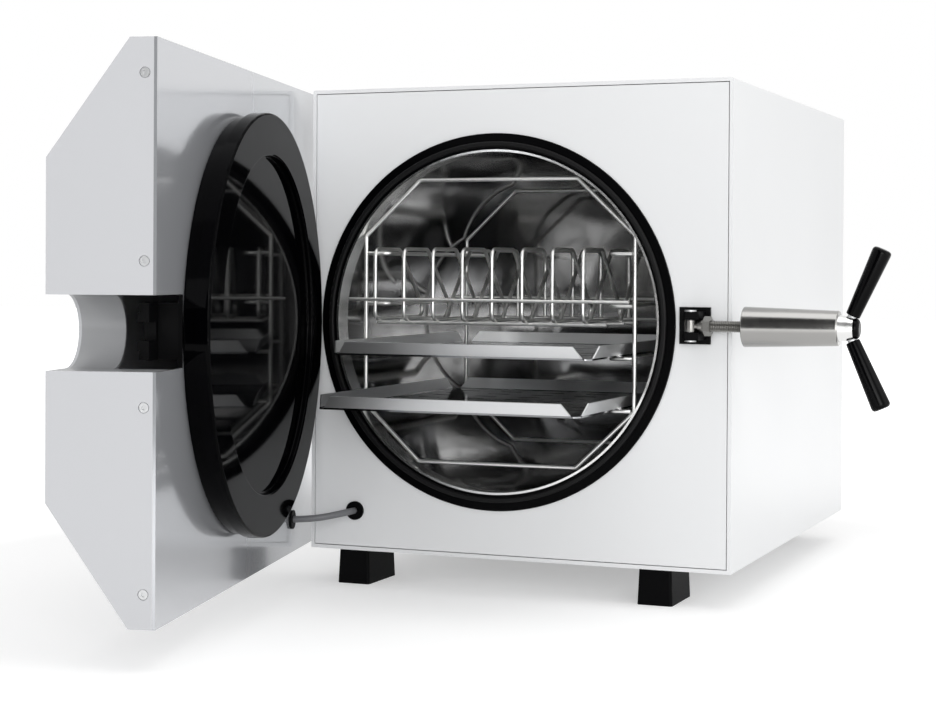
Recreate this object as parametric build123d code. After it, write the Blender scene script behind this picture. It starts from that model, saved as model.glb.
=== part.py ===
from build123d import *
import math
import os

os.makedirs("parts", exist_ok=True)

# A bench-top steam steriliser with a round chamber, a side-hung door and a swing-bolt closure.
# Millimetres. X runs to the right, Y to the back and Z up. The drawing starts from the floor under the
# middle of the cabinet, and each piece is saved from the floor under the middle of the open machine.

# Cabinet
CASE_D = 398.0
LEFT_ROOM = 4.0
RIGHT_ROOM = 35.0
HEAD_ROOM = 30.0
PLACE = (-14.5, 169.0)
SHEET = 1.5
RIM = 2.75
HEM_DEPTH = 12.0
SEAM = 0.6
REAR_LIP = 10.0

# Feet
FOOT_H = 26.0
FOOT_W = 26.0
FOOT_L = 50.0
FOOT_TAPER = 2.0
FOOT_SIDE = 45.0
FOOT_MID_X = -11.0
FOOT_INSET = 3.0

# Chamber
CHAMBER_R = 125.0
CHAMBER_L = 296.0
VESSEL_WALL = 2.5
END_WALL = 4.0
RING_W = 13.5
RING_PROUD = 2.0
LIP_WALL = 1.6
SPIGOT_W = 8.7
GASKET_STEP = 3.4
GASKET_W = 4.0
GASKET_SEAT = 1.5
FLANGE_W = 19.0
FLANGE_FRONT = 6.0
FLANGE_BACK = 14.0
HEATER_T = 3.5
JACKET_T = 13.5
SADDLE_T = 20.0
SADDLE_W = 140.0
SADDLES = (60.0, 220.0)
HEATER = (90.0, 210.0)

# Service parts behind the chamber
INLET = (84.0, 128.0, 56.0, 122.0)
ROCKER_X = 106.0
ROCKER_Z = 106.0
ROCKER_TILT = 7.0
ROCKER_W = 12.0
ROCKER_L = 19.0
ROCKER_PIN_R = 1.5
DRAIN_X = -110.0
DRAIN_Z = 62.0
DRAIN_R = 6.0
DRAIN_L = 16.0
PROBE = (35.0, 70.0)
RELIEF = (-40.0, 70.0)
OUTLET = (-60.0, -50.0)
VALVE_Y = 60.0
VALVE_BOX = 26.0
PIPE_R = 4.0
BOARD = (20.0, 140.0, 180.0, 300.0)
STANDOFF = 10.0

# Door, along (u), behind (s) and above the hinge axis
HINGE_IN = 6.2
HINGE_OUT = 11.4
DOOR_REST = 77.3
LID_GAP = 0.3
DOOR_U0 = -49.6
DOOR_PLANE = -11.3
DOOR_FACE = -79.5
DOOR_WALL = 2.0
STRIP_DEPTH = 16.8
SLANT_TOP = 70.3
SLANT_BOTTOM = 73.0
PLATE_T = 2.0
PLATE_FLANGE = 12.0
NOTCH_R = 22.6
NOTCH_PAST = 7.6
LINER_T = 2.0
LINER_END = -49.0
PLATE_NOTCH = 9.7
DOOR_SCREW_BACK = 7.5
DOOR_SCREW_END = (20.7, 21.0)
DOOR_SCREW_MID = (-43.5, 42.6)

# Lid
LID_OVER = 19.3
LID_BACK_OVER = 17.0
LID_FACE = 6.75
LID_STEP = -2.5
LID_RIM = 10.0
LID_RECESS = 5.0
POCKET_H = 40.0
POCKET_U = 6.5
POCKET_SKIN = 1.55

# Hinge
PIN_R = 2.5
KNUCKLE_R = 4.5
RUN_FIT = 0.06
DOOR_KNUCKLE = 12.7
LEAF_KNUCKLE = 13.0
LEAF_HALF = 35.0
LEAF_T = 2.5
LEAF_L = 45.0

# Yoke
YOKE_HALF = 17.3
YOKE_BACK = -27.0
YOKE_SHORT = 11.2
FORK_FACE = -34.4
FORK_ROOT = 31.7
FORK_TIP = 6.3
FORK_SLOT = 5.7
FORK_SLOT_ROOT = 6.7
FORK_EAR = 11.5
FORK_STEP = (4.0, 3.0)
LID_BOLT_R = 4.0
LID_BOLT_AT = (-86.8, -31.8, 28.2, 83.2)

# Closure
CLEVIS_IN = 27.1
CLEVIS_OUT = 10.4
CLEVIS_PIN_R = 3.0
EAR_IN = 4.6
EAR_T = 5.4
EAR_LEFT = 5.1
EAR_RIGHT = 7.4
EAR_OUT = 16.4
EAR_FOOT_RIGHT = 9.1
CLEVIS_BASE = 3.0
CLEVIS_CORNER = 3.0
CLEVIS_PIN_HEAD = (1.1, 1.2)
EYE_R = 4.4
EYE_GAP = 0.2
SHANK_R = 3.35
COLLAR = (5.8, 9.4)
COLLAR_R = 4.1
ROD_R = 4.0
NUT_AF = 12.0
LOCK_NUT = (10.1, 15.1)
BARREL_START = 38.5
BARREL_L = 65.7
BARREL_R0 = 14.0
BARREL_R1 = 12.0
WASHER_R = 9.0
WASHER_T = 3.0
WASHER_PROUD = 0.2
SIDE_GAP = 0.3
HUB_L = 9.9
HUB_R0 = 9.15
HUB_R1 = 7.85
CAP_L = 4.0
LEVER_LEAN = 66.0
LEVER_BACK = 5.1
LEVER_IN = 14.0
LEVER_OUT = 59.0
LEVER_R0 = 5.15
LEVER_R1 = 6.75
STUD_R = 3.2
STUD_DEPTH = 12.0
ROD_BACK = 8.0
BORE_BACK = 4.0

# Wire rack
WIRE_R = 1.5
RACK_FRONT = 7.0
RACK_L = 202.0
RACK_SIDE = 19.0
RACK_HEAD = 20.0
RACK_TOP_GAP = 1.56
RACK_BEND = 3.0
RAIL_BEND = 6.0
WELD = 0.3
LOW_WELD = 1.0
RAIL_IN = 19.0
RAIL_ABOVE = 0.6
RAIL_PITCH = 37.7
RAIL_COUNT = 4

# Pouch rack
POUCH_R = 1.3
POUCH_PITCH = 23.56
POUCH_SIDE = 9.0
POUCH_FRONT_COUNT = 8
POUCH_LOW = 1.0
POUCH_ABOVE = 3.3
POUCH_BEND = 4.0
POUCH_FRONT = (3.5, 48.6, 102.0)
POUCH_REAR = (56.0, 108.0, 153.0)
POUCH_BALL_R = 1.6
POUCH_TIES = (14.0, 57.3, 90.0)
POUCH_END_BARS = (0.9, 155.6)

# Trays
TRAY_L = 260.0
TRAY_OVER = 11.0
TRAY_T = 1.0
TRAY_RIM = 10.0
TRAY_LEAN = 18.0
TRAY_GAP = 0.3
TRAY_CORNER = 6.0
RIM_CUT_LOW = 5.0
RIM_CUT_HIGH = 12.0
SLOT_W = 18.0
SLOT_L = 5.0
SLOT_ROWS = 5
SLOT_COLUMNS = 8
SLOT_PITCH_X = 36.0
SLOT_PITCH_Y = 28.0
SLOT_START = 32.0
UPPER_TRAY_OUT = 71.0
LOWER_TRAY_OUT = 94.4

# Door controls
FASCIA_U = (70.0, 222.0)
FASCIA_H = 66.0
FASCIA_DROP = 15.7
FASCIA_T = 1.5
BUTTON_R = 5.0
BUTTON_PROUD = 1.6
BUTTON_U = (100.0, 146.0, 192.0)
BUTTON_UP = 14.0
BUTTON_TRAVEL = 0.8
BUTTON_COLLAR = 1.2
WINDOW_U = (86.0, 156.0)
WINDOW_UP = (28.0, 58.0)
LIGHT_R = 1.5
LIGHT_U = (172.0, 186.0, 200.0)
LIGHT_UP = 44.0
DISPLAY_BACK = 3.5

# Cable
CABLE_R = 2.5
CABLE_OUT = (10.0, 13.0)
CABLE_IN = (14.0, 8.0)
PANEL_GROMMET = (-126.5, 56.0)
DOOR_GROMMET = (19.3, 51.0)

FLANGE_R = CHAMBER_R + FLANGE_W
RING_R = CHAMBER_R + RING_W
SPIGOT_R = CHAMBER_R + SPIGOT_W
GASKET_IN = CHAMBER_R + GASKET_STEP
GASKET_OUT = GASKET_IN + GASKET_W
FRONT = -CASE_D / 2
BACK = CASE_D / 2
CASE_H = 2 * (FLANGE_R + HEAD_ROOM)
HALF_W = FLANGE_R + (LEFT_ROOM + RIGHT_ROOM) / 2
CHAMBER_X = (LEFT_ROOM - RIGHT_ROOM) / 2
FOOT_PITCH = 2 * (HALF_W - FOOT_SIDE)
Z0 = FOOT_H
Z1 = FOOT_H + CASE_H
AXIS_Z = (Z0 + Z1) / 2
HINGE_X = HINGE_IN - HALF_W
HINGE_Y = FRONT - HINGE_OUT
CLEVIS_X = HALF_W - CLEVIS_IN
PIN_Y = FRONT - CLEVIS_OUT
OPENED = Pos(HINGE_X, HINGE_Y, 0) * Rot(0, 0, -DOOR_REST)
VESSEL_R = CHAMBER_R + VESSEL_WALL
JACKET_R = VESSEL_R + JACKET_T
CHAMBER_BACK = FRONT + CHAMBER_L

DOOR_U1 = 2 * HALF_W + HINGE_IN
DOOR_SCREW_Z = [CASE_H - DOOR_SCREW_END[1], DOOR_SCREW_END[0]]
DOOR_SCREW_Z += [CASE_H / 2 + step for step in DOOR_SCREW_MID]
LID_U = CHAMBER_X - HINGE_X
LID_R = CHAMBER_R + LID_OVER
LID_BACK_R = CHAMBER_R + LID_BACK_OVER
LID_RECESS_R = CHAMBER_R - LID_RIM
LID_BOLT_U = [LID_U + step for step in LID_BOLT_AT]
BOLT_U = CLEVIS_X - HINGE_X
NOTCH_U = BOLT_U + NOTCH_PAST
PLATE_NOTCH_U = BOLT_U - PLATE_NOTCH
YOKE_END = BOLT_U - YOKE_SHORT
FORK_START = BOLT_U - FORK_ROOT
FORK_END = BOLT_U + FORK_TIP
FORK_SLOT_U = BOLT_U - FORK_SLOT_ROOT
FASCIA_TOP = Z1 - SLANT_TOP - FASCIA_DROP
FASCIA_Z = FASCIA_TOP - FASCIA_H
FASCIA = (*FASCIA_U, FASCIA_Z, FASCIA_TOP)
WINDOW = (*WINDOW_U, FASCIA_Z + WINDOW_UP[0], FASCIA_Z + WINDOW_UP[1])
BUTTON_Z = FASCIA_Z + BUTTON_UP
LIGHT_Z = FASCIA_Z + LIGHT_UP

BORE_R = ROD_R + RUN_FIT
BARREL_END = BARREL_START + BARREL_L
ROD_END = BARREL_END - ROD_BACK
BORE_END = BARREL_END - BORE_BACK

RACK_HALF_W = CHAMBER_R - RACK_SIDE
RACK_HALF_H = CHAMBER_R - RACK_HEAD
RACK_SHOULDER = math.sqrt((CHAMBER_R - WIRE_R) ** 2 - RACK_HALF_W ** 2)
RACK_TOP_HALF = math.sqrt((CHAMBER_R - WIRE_R - RACK_TOP_GAP) ** 2 - RACK_HALF_H ** 2)
RAIL_X = RACK_HALF_W - RAIL_IN
RAIL_LOW = RAIL_ABOVE - RACK_SHOULDER
RAIL_TOP = RAIL_LOW + RAIL_PITCH * (RAIL_COUNT - 1)
RAIL_REST = RAIL_TOP - RAIL_PITCH + WIRE_R
BAR_Z = RAIL_REST + TRAY_GAP + POUCH_R
POUCH_X0 = POUCH_SIDE - RACK_HALF_W
POUCH_TOP = RAIL_TOP + POUCH_ABOVE
TRAY_HALF_W = RAIL_X + TRAY_OVER


def block(x0, x1, y0, y1, z0, z1):
    """A box between two corners."""
    centre = Pos((x0 + x1) / 2, (y0 + y1) / 2, (z0 + z1) / 2)
    return centre * Box(x1 - x0, y1 - y0, z1 - z0)


def rod(start, end, radius, radius2=None):
    """A round bar, or a cone, from one point to another."""
    a = Vector(*start)
    b = Vector(*end)
    base = (Align.CENTER, Align.CENTER, Align.MIN)
    if radius2 is None:
        solid = Cylinder(radius, (b - a).length, align=base)
    else:
        solid = Cone(radius, radius2, (b - a).length, align=base)
    return Plane(origin=a, z_dir=b - a) * solid


def ring(x, z, y0, y1, outer, inner):
    """A round ring along Y."""
    return rod((x, y0, z), (x, y1, z), outer) - rod((x, y0 - 1, z), (x, y1 + 1, z), inner)


def chamber_ring(depth0, depth1, outer, inner):
    """A ring round the chamber's axis, between two depths from the front panel."""
    return ring(CHAMBER_X, AXIS_Z, FRONT + depth0, FRONT + depth1, outer, inner)


def bent_wire(points, bend, radius, closed=False):
    """A bent round wire through a list of points."""
    path = FilletPolyline(*points, radius=bend, close=closed)
    section = Plane(origin=path @ 0, z_dir=path % 0) * Circle(radius)
    return sweep(section, path=path)


def save(name, *solids):
    """Write one sub-part, moved to the machine's place, with each of its pieces as a solid of its own."""
    pieces = []
    for solid in solids:
        pieces.extend((Pos(*PLACE, 0) * solid).solids())
    export_step(Compound(children=pieces), f"parts/{name}.step")


def casing():
    """Sheet wrapped over the left side, the top and the right side, with a hemmed front."""
    shell = block(-HALF_W, HALF_W, FRONT, BACK, Z0, Z1)
    long_edges = shell.edges().filter_by(Axis.Y).sort_by(Axis.Z)[-2:]
    shell = fillet(long_edges, SHEET)
    inside = block(-HALF_W + SHEET, HALF_W - SHEET, FRONT - 1, BACK + 1, Z0 - 1, Z1 - SHEET)
    hem = block(-HALF_W + SHEET, HALF_W - SHEET, FRONT, FRONT + HEM_DEPTH, Z0 + RIM, Z1 - SHEET)
    mouth = block(-HALF_W + RIM, HALF_W - RIM, FRONT - 1, BACK, Z0, Z1 - RIM)
    lip_y = BACK - SHEET
    lip = block(-HALF_W + SHEET, HALF_W - SHEET, lip_y - SHEET, lip_y, Z0 + SHEET, Z1 - SHEET)
    hole_w = HALF_W - SHEET - REAR_LIP
    lip_hole = block(-hole_w, hole_w, lip_y - 5, lip_y + 1, Z0, Z1 - SHEET - REAR_LIP)
    cover = shell - inside + (hem - mouth) + (lip - lip_hole)
    for x, y, z in hinge_screw_places():
        cover -= rod((x, y, z), (x + 10, y, z), 2.0)
    return cover - rear_screw_holes()


def rear_screw_places():
    """The rear panel's screws, as x and z."""
    side = HALF_W - SHEET - REAR_LIP / 2
    top = Z1 - SHEET - REAR_LIP / 2
    low = Z0 + 60
    middle = (top + low) / 2
    upper = [(-side, top), (0, top), (side, top)]
    return upper + [(-side, middle), (side, middle), (-side, low), (side, low)]


def rear_screw_holes():
    holes = [rod((x, BACK - 8, z), (x, BACK + 1, z), 1.5) for x, z in rear_screw_places()]
    return Compound(children=holes)


def rear_screws():
    """Pan-head screws that hold the rear panel."""
    screws = []
    for x, z in rear_screw_places():
        head = rod((x, BACK, z), (x, BACK + 2, z), 3.0)
        slot = block(x - 2, x + 2, BACK + 1.2, BACK + 3, z - 0.4, z + 0.4)
        screws.append(head + rod((x, BACK - 7, z), (x, BACK, z), 1.5) - slot)
    return screws


def base_pan():
    """Bottom tray with a front rim and side flanges inside the casing."""
    inner = HALF_W - SHEET
    floor = block(-inner, inner, FRONT, BACK - SHEET, Z0, Z0 + SHEET)
    front = block(-inner, inner, FRONT, FRONT + HEM_DEPTH, Z0 + SHEET, Z0 + RIM)
    sides = []
    for side in (-1, 1):
        x0 = min(side * inner, side * (inner - SHEET))
        sides.append(block(x0, x0 + SHEET, FRONT + HEM_DEPTH + 1, BACK - 2 * SHEET - 1, Z0 + SHEET, Z0 + 16))
    pan = floor + front + sides[0] + sides[1]
    holes = [rod((x, y, Z0 - 1), (x, y, Z0 + 3), 2.2) for x, y in foot_places()]
    return pan - Compound(children=holes)


def front_panel():
    """Flush front panel with the round mouth and the cable's hole."""
    edge = RIM + SEAM
    panel = block(-HALF_W + edge, HALF_W - edge, FRONT, FRONT + SHEET, Z0 + edge, Z1 - edge)
    mouth = rod((CHAMBER_X, FRONT - 1, AXIS_Z), (CHAMBER_X, FRONT + 5, AXIS_Z), SPIGOT_R)
    x, z = PANEL_GROMMET
    return panel - mouth - rod((x, FRONT - 1, z), (x, FRONT + 5, z), CABLE_R + 2)


def foot_places():
    near = FRONT + FOOT_INSET + FOOT_L / 2
    places = []
    for x in (FOOT_MID_X - FOOT_PITCH / 2, FOOT_MID_X + FOOT_PITCH / 2):
        places.append((x, near))
        places.append((x, -near))
    return places


def foot(x, y):
    """A tapered rubber foot with a counterbore for its screw."""
    low = Pos(x, y, 0) * RectangleRounded(FOOT_W, FOOT_L, 2)
    high = Pos(x, y, FOOT_H) * RectangleRounded(FOOT_W - FOOT_TAPER, FOOT_L - FOOT_TAPER, 2)
    body = loft([low, high])
    body -= rod((x, y, -1), (x, y, FOOT_H / 2), 5.0)
    return body - rod((x, y, 0), (x, y, FOOT_H + 1), 2.2)


def foot_screw(x, y):
    head = rod((x, y, FOOT_H / 2 - 3), (x, y, FOOT_H / 2), 4.2)
    return head + rod((x, y, FOOT_H / 2), (x, y, FOOT_H + 8), 2.2)


def chamber_vessel():
    """Round pressure vessel with a flat welded end."""
    wall = chamber_ring(FLANGE_BACK, CHAMBER_L, VESSEL_R, CHAMBER_R)
    y = CHAMBER_BACK
    return wall + rod((CHAMBER_X, y, AXIS_Z), (CHAMBER_X, y + END_WALL, AXIS_Z), VESSEL_R)


def chamber_flange():
    """Flange behind the panel, with a bright lip that lines the mouth."""
    body = chamber_ring(FLANGE_FRONT, FLANGE_BACK, FLANGE_R, CHAMBER_R)
    rim = chamber_ring(SHEET, FLANGE_FRONT, FLANGE_R, SPIGOT_R)
    lip = chamber_ring(-RING_PROUD, FLANGE_FRONT, CHAMBER_R + LIP_WALL, CHAMBER_R)
    return body + rim + lip


def mouth_ring():
    """Moulded ring round the mouth, with the gasket's groove."""
    face = chamber_ring(-RING_PROUD, 0, RING_R, CHAMBER_R + LIP_WALL)
    face = chamfer(face.edges().filter_by(GeomType.CIRCLE).sort_by(Axis.Y)[0:1], 0.4)
    spigot = chamber_ring(0, FLANGE_FRONT, SPIGOT_R, CHAMBER_R + LIP_WALL)
    return face + spigot - chamber_ring(-RING_PROUD - 1, GASKET_SEAT, GASKET_OUT, GASKET_IN)


def mouth_gasket():
    """Silicone gasket that the lid closes on."""
    front = -(HINGE_OUT - LID_FACE) + LID_GAP
    gasket = chamber_ring(front, GASKET_SEAT, GASKET_OUT, GASKET_IN)
    return fillet(gasket.edges().filter_by(GeomType.CIRCLE).sort_by(Axis.Y)[0:2], 1.2)


def saddle(depth):
    """A support block between the base and the vessel."""
    half = SADDLE_W / 2
    y = FRONT + depth
    body = block(CHAMBER_X - half, CHAMBER_X + half, y, y + SADDLE_T, Z0 + SHEET, AXIS_Z - 95)
    vessel = rod((CHAMBER_X, y - 1, AXIS_Z), (CHAMBER_X, y + SADDLE_T + 1, AXIS_Z), VESSEL_R)
    return body - vessel


def jacket():
    """Insulation round the vessel, in three lengths between the saddles."""
    first = chamber_ring(FLANGE_BACK + 1, SADDLES[0] - 1, JACKET_R, VESSEL_R)
    middle = chamber_ring(SADDLES[0] + SADDLE_T + 1, SADDLES[1] - 1, JACKET_R, VESSEL_R)
    middle -= chamber_ring(HEATER[0], HEATER[1], VESSEL_R + HEATER_T, VESSEL_R - 1)
    last = chamber_ring(SADDLES[1] + SADDLE_T + 1, CHAMBER_L - 2, JACKET_R, VESSEL_R)
    return first, middle, last


def rear_panel():
    """Rear panel with openings for the inlet, the switch and the drain."""
    inner = HALF_W - SHEET
    panel = block(-inner, inner, BACK - SHEET, BACK, Z0, Z1 - SHEET)
    panel -= block(INLET[0], INLET[1], BACK - 5, BACK + 1, INLET[2], INLET[3])
    panel -= rod((DRAIN_X, BACK - 5, DRAIN_Z), (DRAIN_X, BACK + 1, DRAIN_Z), DRAIN_R - 1)
    return panel - rear_screw_holes()


def end_fitting(place, steps):
    """A turned fitting on the vessel's end, from steps of length and radius."""
    x = CHAMBER_X + place[0]
    z = AXIS_Z + place[1]
    y = CHAMBER_BACK + END_WALL
    body = None
    for length, radius in steps:
        piece = rod((x, y, z), (x, y + length, z), radius)
        body = piece if body is None else body + piece
        y += length
    return body


def solenoid_valve():
    """Exhaust valve between the vessel's outlet and the drain."""
    y = BACK - VALVE_Y
    half = VALVE_BOX / 2
    body = block(DRAIN_X - half, DRAIN_X + half, y, y + VALVE_BOX, DRAIN_Z - half, DRAIN_Z + half)
    coil = rod((DRAIN_X, y + half, DRAIN_Z + half), (DRAIN_X, y + half, DRAIN_Z + half + 35), 11.0)
    return body + coil


def steam_pipe():
    """Bent pipe from the vessel's outlet down to the exhaust valve."""
    x = CHAMBER_X + OUTLET[0]
    z = AXIS_Z + OUTLET[1]
    valve_y = BACK - VALVE_Y + VALVE_BOX / 2
    start = (x, CHAMBER_BACK + END_WALL, z)
    end = (DRAIN_X + VALVE_BOX / 2, valve_y, DRAIN_Z)
    return bent_wire([start, (x, valve_y, z), (x, valve_y, DRAIN_Z), end], 10, PIPE_R)


def drain_spigot():
    """Hose spigot from the exhaust valve through the rear panel."""
    y = BACK - VALVE_Y + VALVE_BOX
    tube = rod((DRAIN_X, y, DRAIN_Z), (DRAIN_X, BACK, DRAIN_Z), DRAIN_R - 1)
    tube += rod((DRAIN_X, BACK, DRAIN_Z), (DRAIN_X, BACK + DRAIN_L, DRAIN_Z), DRAIN_R)
    return tube - rod((DRAIN_X, BACK - 10, DRAIN_Z), (DRAIN_X, BACK + DRAIN_L + 1, DRAIN_Z), 3.5)


def control_board():
    """Control board on standoffs from the rear panel."""
    x0, x1, z0, z1 = BOARD
    face = BACK - SHEET - STANDOFF
    board = block(x0, x1, face - 1.6, face, z0, z1)
    for x in (x0 + 6, x1 - 6):
        for z in (z0 + 6, z1 - 6):
            board += rod((x, face, z), (x, BACK - SHEET, z), 3.0)
    relay_y = face - 1.6
    for i in range(3):
        x = x0 + 20 + 34 * i
        board += block(x, x + 16, relay_y - 16, relay_y, z0 + 14, z0 + 42)
    board += block(x0 + 20, x0 + 60, relay_y - 30, relay_y, z1 - 50, z1 - 14)
    for i in range(3):
        x = x0 + 78 + 14 * i
        board += rod((x, relay_y, z1 - 30), (x, relay_y - 22, z1 - 30), 6.0)
    return board


def rocker_cut():
    """The room that the rocker swings in."""
    x = ROCKER_X
    z = ROCKER_Z
    half_w = ROCKER_W / 2 + 0.4
    half_l = ROCKER_L / 2 + 1.0
    return block(x - half_w, x + half_w, BACK - 12, BACK + 5, z - half_l, z + half_l)


def power_inlet():
    """Inlet socket with the mains switch's frame above it."""
    x0, x1, z0, z1 = INLET
    body = block(x0, x1, BACK - 26, BACK, z0, z1)
    body += block(x0 - 3, x1 + 3, BACK, BACK + 2, z0 - 3, z1 + 3)
    mid = (x0 + x1) / 2
    body -= block(mid - 12, mid + 12, BACK - 17, BACK + 3, z0 + 6, z0 + 22)
    for x in (mid - 7, mid, mid + 7):
        body += block(x - 1, x + 1, BACK - 18, BACK - 3, z0 + 12, z0 + 16)
    reach = ROCKER_W / 2 + 2.5
    left = (ROCKER_X - reach, BACK, ROCKER_Z)
    right = (ROCKER_X + reach, BACK, ROCKER_Z)
    return body - rocker_cut() - rod(left, right, ROCKER_PIN_R + RUN_FIT)


def rocker_switch():
    """Mains rocker, resting on its off side."""
    half_w = ROCKER_W / 2
    arc = rod((ROCKER_X - half_w, BACK, ROCKER_Z), (ROCKER_X + half_w, BACK, ROCKER_Z), ROCKER_L / 2)
    keep = block(ROCKER_X - 20, ROCKER_X + 20, BACK - 3.5, BACK + 3.5, ROCKER_Z - 20, ROCKER_Z + 20)
    reach = half_w + 2.2
    pins = rod((ROCKER_X - reach, BACK, ROCKER_Z), (ROCKER_X + reach, BACK, ROCKER_Z), ROCKER_PIN_R)
    turn = Pos(0, BACK, ROCKER_Z) * Rot(ROCKER_TILT, 0, 0) * Pos(0, -BACK, -ROCKER_Z)
    return turn * ((arc & keep) + pins)


def hinge_leaf():
    """Cabinet leaf of the door's hinge, with a knuckle above and below the door's own."""
    low = AXIS_Z - LEAF_HALF
    high = AXIS_Z + LEAF_HALF
    plate = block(-HALF_W - LEAF_T, -HALF_W, HINGE_Y - LEAF_T / 2, FRONT + LEAF_L, low, high)
    gap = LEAF_KNUCKLE + 0.3
    plate -= block(-HALF_W - 5, -HALF_W + 1, HINGE_Y - 9, HINGE_Y + 6.5, AXIS_Z - gap, AXIS_Z + gap)
    for side in (-1, 1):
        z0 = AXIS_Z + min(side * LEAF_KNUCKLE, side * LEAF_HALF)
        z1 = z0 + LEAF_HALF - LEAF_KNUCKLE
        plate += block(-HALF_W - LEAF_T, HINGE_X, HINGE_Y - LEAF_T / 2, HINGE_Y + LEAF_T / 2, z0, z1)
        plate += rod((HINGE_X, HINGE_Y, z0), (HINGE_X, HINGE_Y, z1), KNUCKLE_R)
    plate -= rod((HINGE_X, HINGE_Y, 0), (HINGE_X, HINGE_Y, 400), PIN_R)
    for x, y, z in hinge_screw_places():
        plate -= rod((x - 5, y, z), (x + 5, y, z), 2.0)
        plate -= rod((x, y, z), (x + 1.5, y, z), 3.5, 2.0)
    return plate


def hinge_screw_places():
    x = -HALF_W - LEAF_T
    return [(x, FRONT + y, AXIS_Z + z) for y in (16, 34) for z in (-24, 24)]


def hinge_screw(x, y, z):
    return rod((x, y, z), (x + 1.5, y, z), 3.5, 2.0) + rod((x + 1.5, y, z), (x + 7.0, y, z), 2.0)


def hinge_pin():
    z0 = AXIS_Z - LEAF_HALF
    z1 = AXIS_Z + LEAF_HALF
    pin = rod((HINGE_X, HINGE_Y, z0), (HINGE_X, HINGE_Y, z1), PIN_R)
    for z in (z0 - 1, z1):
        pin += rod((HINGE_X, HINGE_Y, z), (HINGE_X, HINGE_Y, z + 1), PIN_R + 1)
    return pin


def door_outline(wall):
    """The door's side profile, drawn in by a wall thickness."""
    s0 = DOOR_PLANE
    s1 = DOOR_PLANE - STRIP_DEPTH
    face = DOOR_FACE
    points = [(s0, Z0), (s1, Z0), (face, Z0 + SLANT_BOTTOM), (face, Z1 - SLANT_TOP), (s1, Z1), (s0, Z1)]
    profile = make_face(Polyline(*points, close=True))
    if wall:
        profile = offset(profile, amount=-wall, kind=Kind.INTERSECTION)
    return profile


def door_prism(wall, u0, u1):
    """The door's profile carried along its width."""
    plane = Plane(origin=(u0, 0, 0), x_dir=(0, 1, 0), z_dir=(1, 0, 0))
    return extrude(plane * door_outline(wall), amount=u1 - u0)


def notch_shape(s0, s1, grow, u_end):
    """The closure's notch: straight sides and a half-round bottom."""
    r = NOTCH_R + grow
    round_end = rod((NOTCH_U, s0, AXIS_Z), (NOTCH_U, s1, AXIS_Z), r)
    return round_end + block(NOTCH_U, u_end, s0, s1, AXIS_Z - r, AXIS_Z + r)


def door_screw_places():
    """Screws through the door's two upright edges, as u, z and outward direction."""
    s = DOOR_PLANE - DOOR_SCREW_BACK
    places = []
    for height in DOOR_SCREW_Z:
        places.append((DOOR_U1, s, Z0 + height, 1))
        places.append((DOOR_U0, s, Z0 + height, -1))
    return places


def door_cover():
    """Folded cover of the door, hollow, with the closure's notch in its free edge."""
    cover = door_prism(0, DOOR_U0, DOOR_U1)
    cover -= block(-400, 400, DOOR_PLANE - PLATE_T, 10, 0, 400)
    hollow = door_prism(DOOR_WALL, DOOR_U0 + DOOR_WALL, DOOR_U1 - DOOR_WALL)
    behind = DOOR_PLANE - PLATE_T - DOOR_WALL - 1
    cover -= hollow
    cover -= block(DOOR_U0 + DOOR_WALL, DOOR_U1 - DOOR_WALL, behind, 0, Z0 + DOOR_WALL, Z1 - DOOR_WALL)
    cover -= notch_shape(DOOR_FACE - 1, 0, 0, DOOR_U1 + 1)
    for u, s, z, way in door_screw_places():
        cover -= rod((u - way * 1.2, s, z), (u + way, s, z), 3.3)
        cover -= rod((u - way * 5, s, z), (u, s, z), 1.5)
    face = DOOR_FACE
    cover -= block(WINDOW[0], WINDOW[1], face - 1, face + DOOR_WALL + 1, WINDOW[2], WINDOW[3])
    for u in BUTTON_U:
        cover -= rod((u, face - 1, BUTTON_Z), (u, face + DOOR_WALL + 1, BUTTON_Z), BUTTON_R + SIDE_GAP)
    for u in LIGHT_U:
        cover -= rod((u, face - 1, LIGHT_Z), (u, face + DOOR_WALL + 1, LIGHT_Z), LIGHT_R)
    return cover


def notch_liner():
    """White lining of the notch: a half-round wall and two flat ones."""
    inner_face = DOOR_FACE + DOOR_WALL
    free = DOOR_U1 - DOOR_WALL
    curved = notch_shape(inner_face, LINER_END, LINER_T, free) - notch_shape(-200, 0, 0, 400)
    for side in (-1, 1):
        z0 = AXIS_Z + min(side * NOTCH_R, side * (NOTCH_R + LINER_T))
        curved += block(NOTCH_U, free, LINER_END, DOOR_PLANE - PLATE_T, z0, z0 + LINER_T)
    return curved


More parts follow.
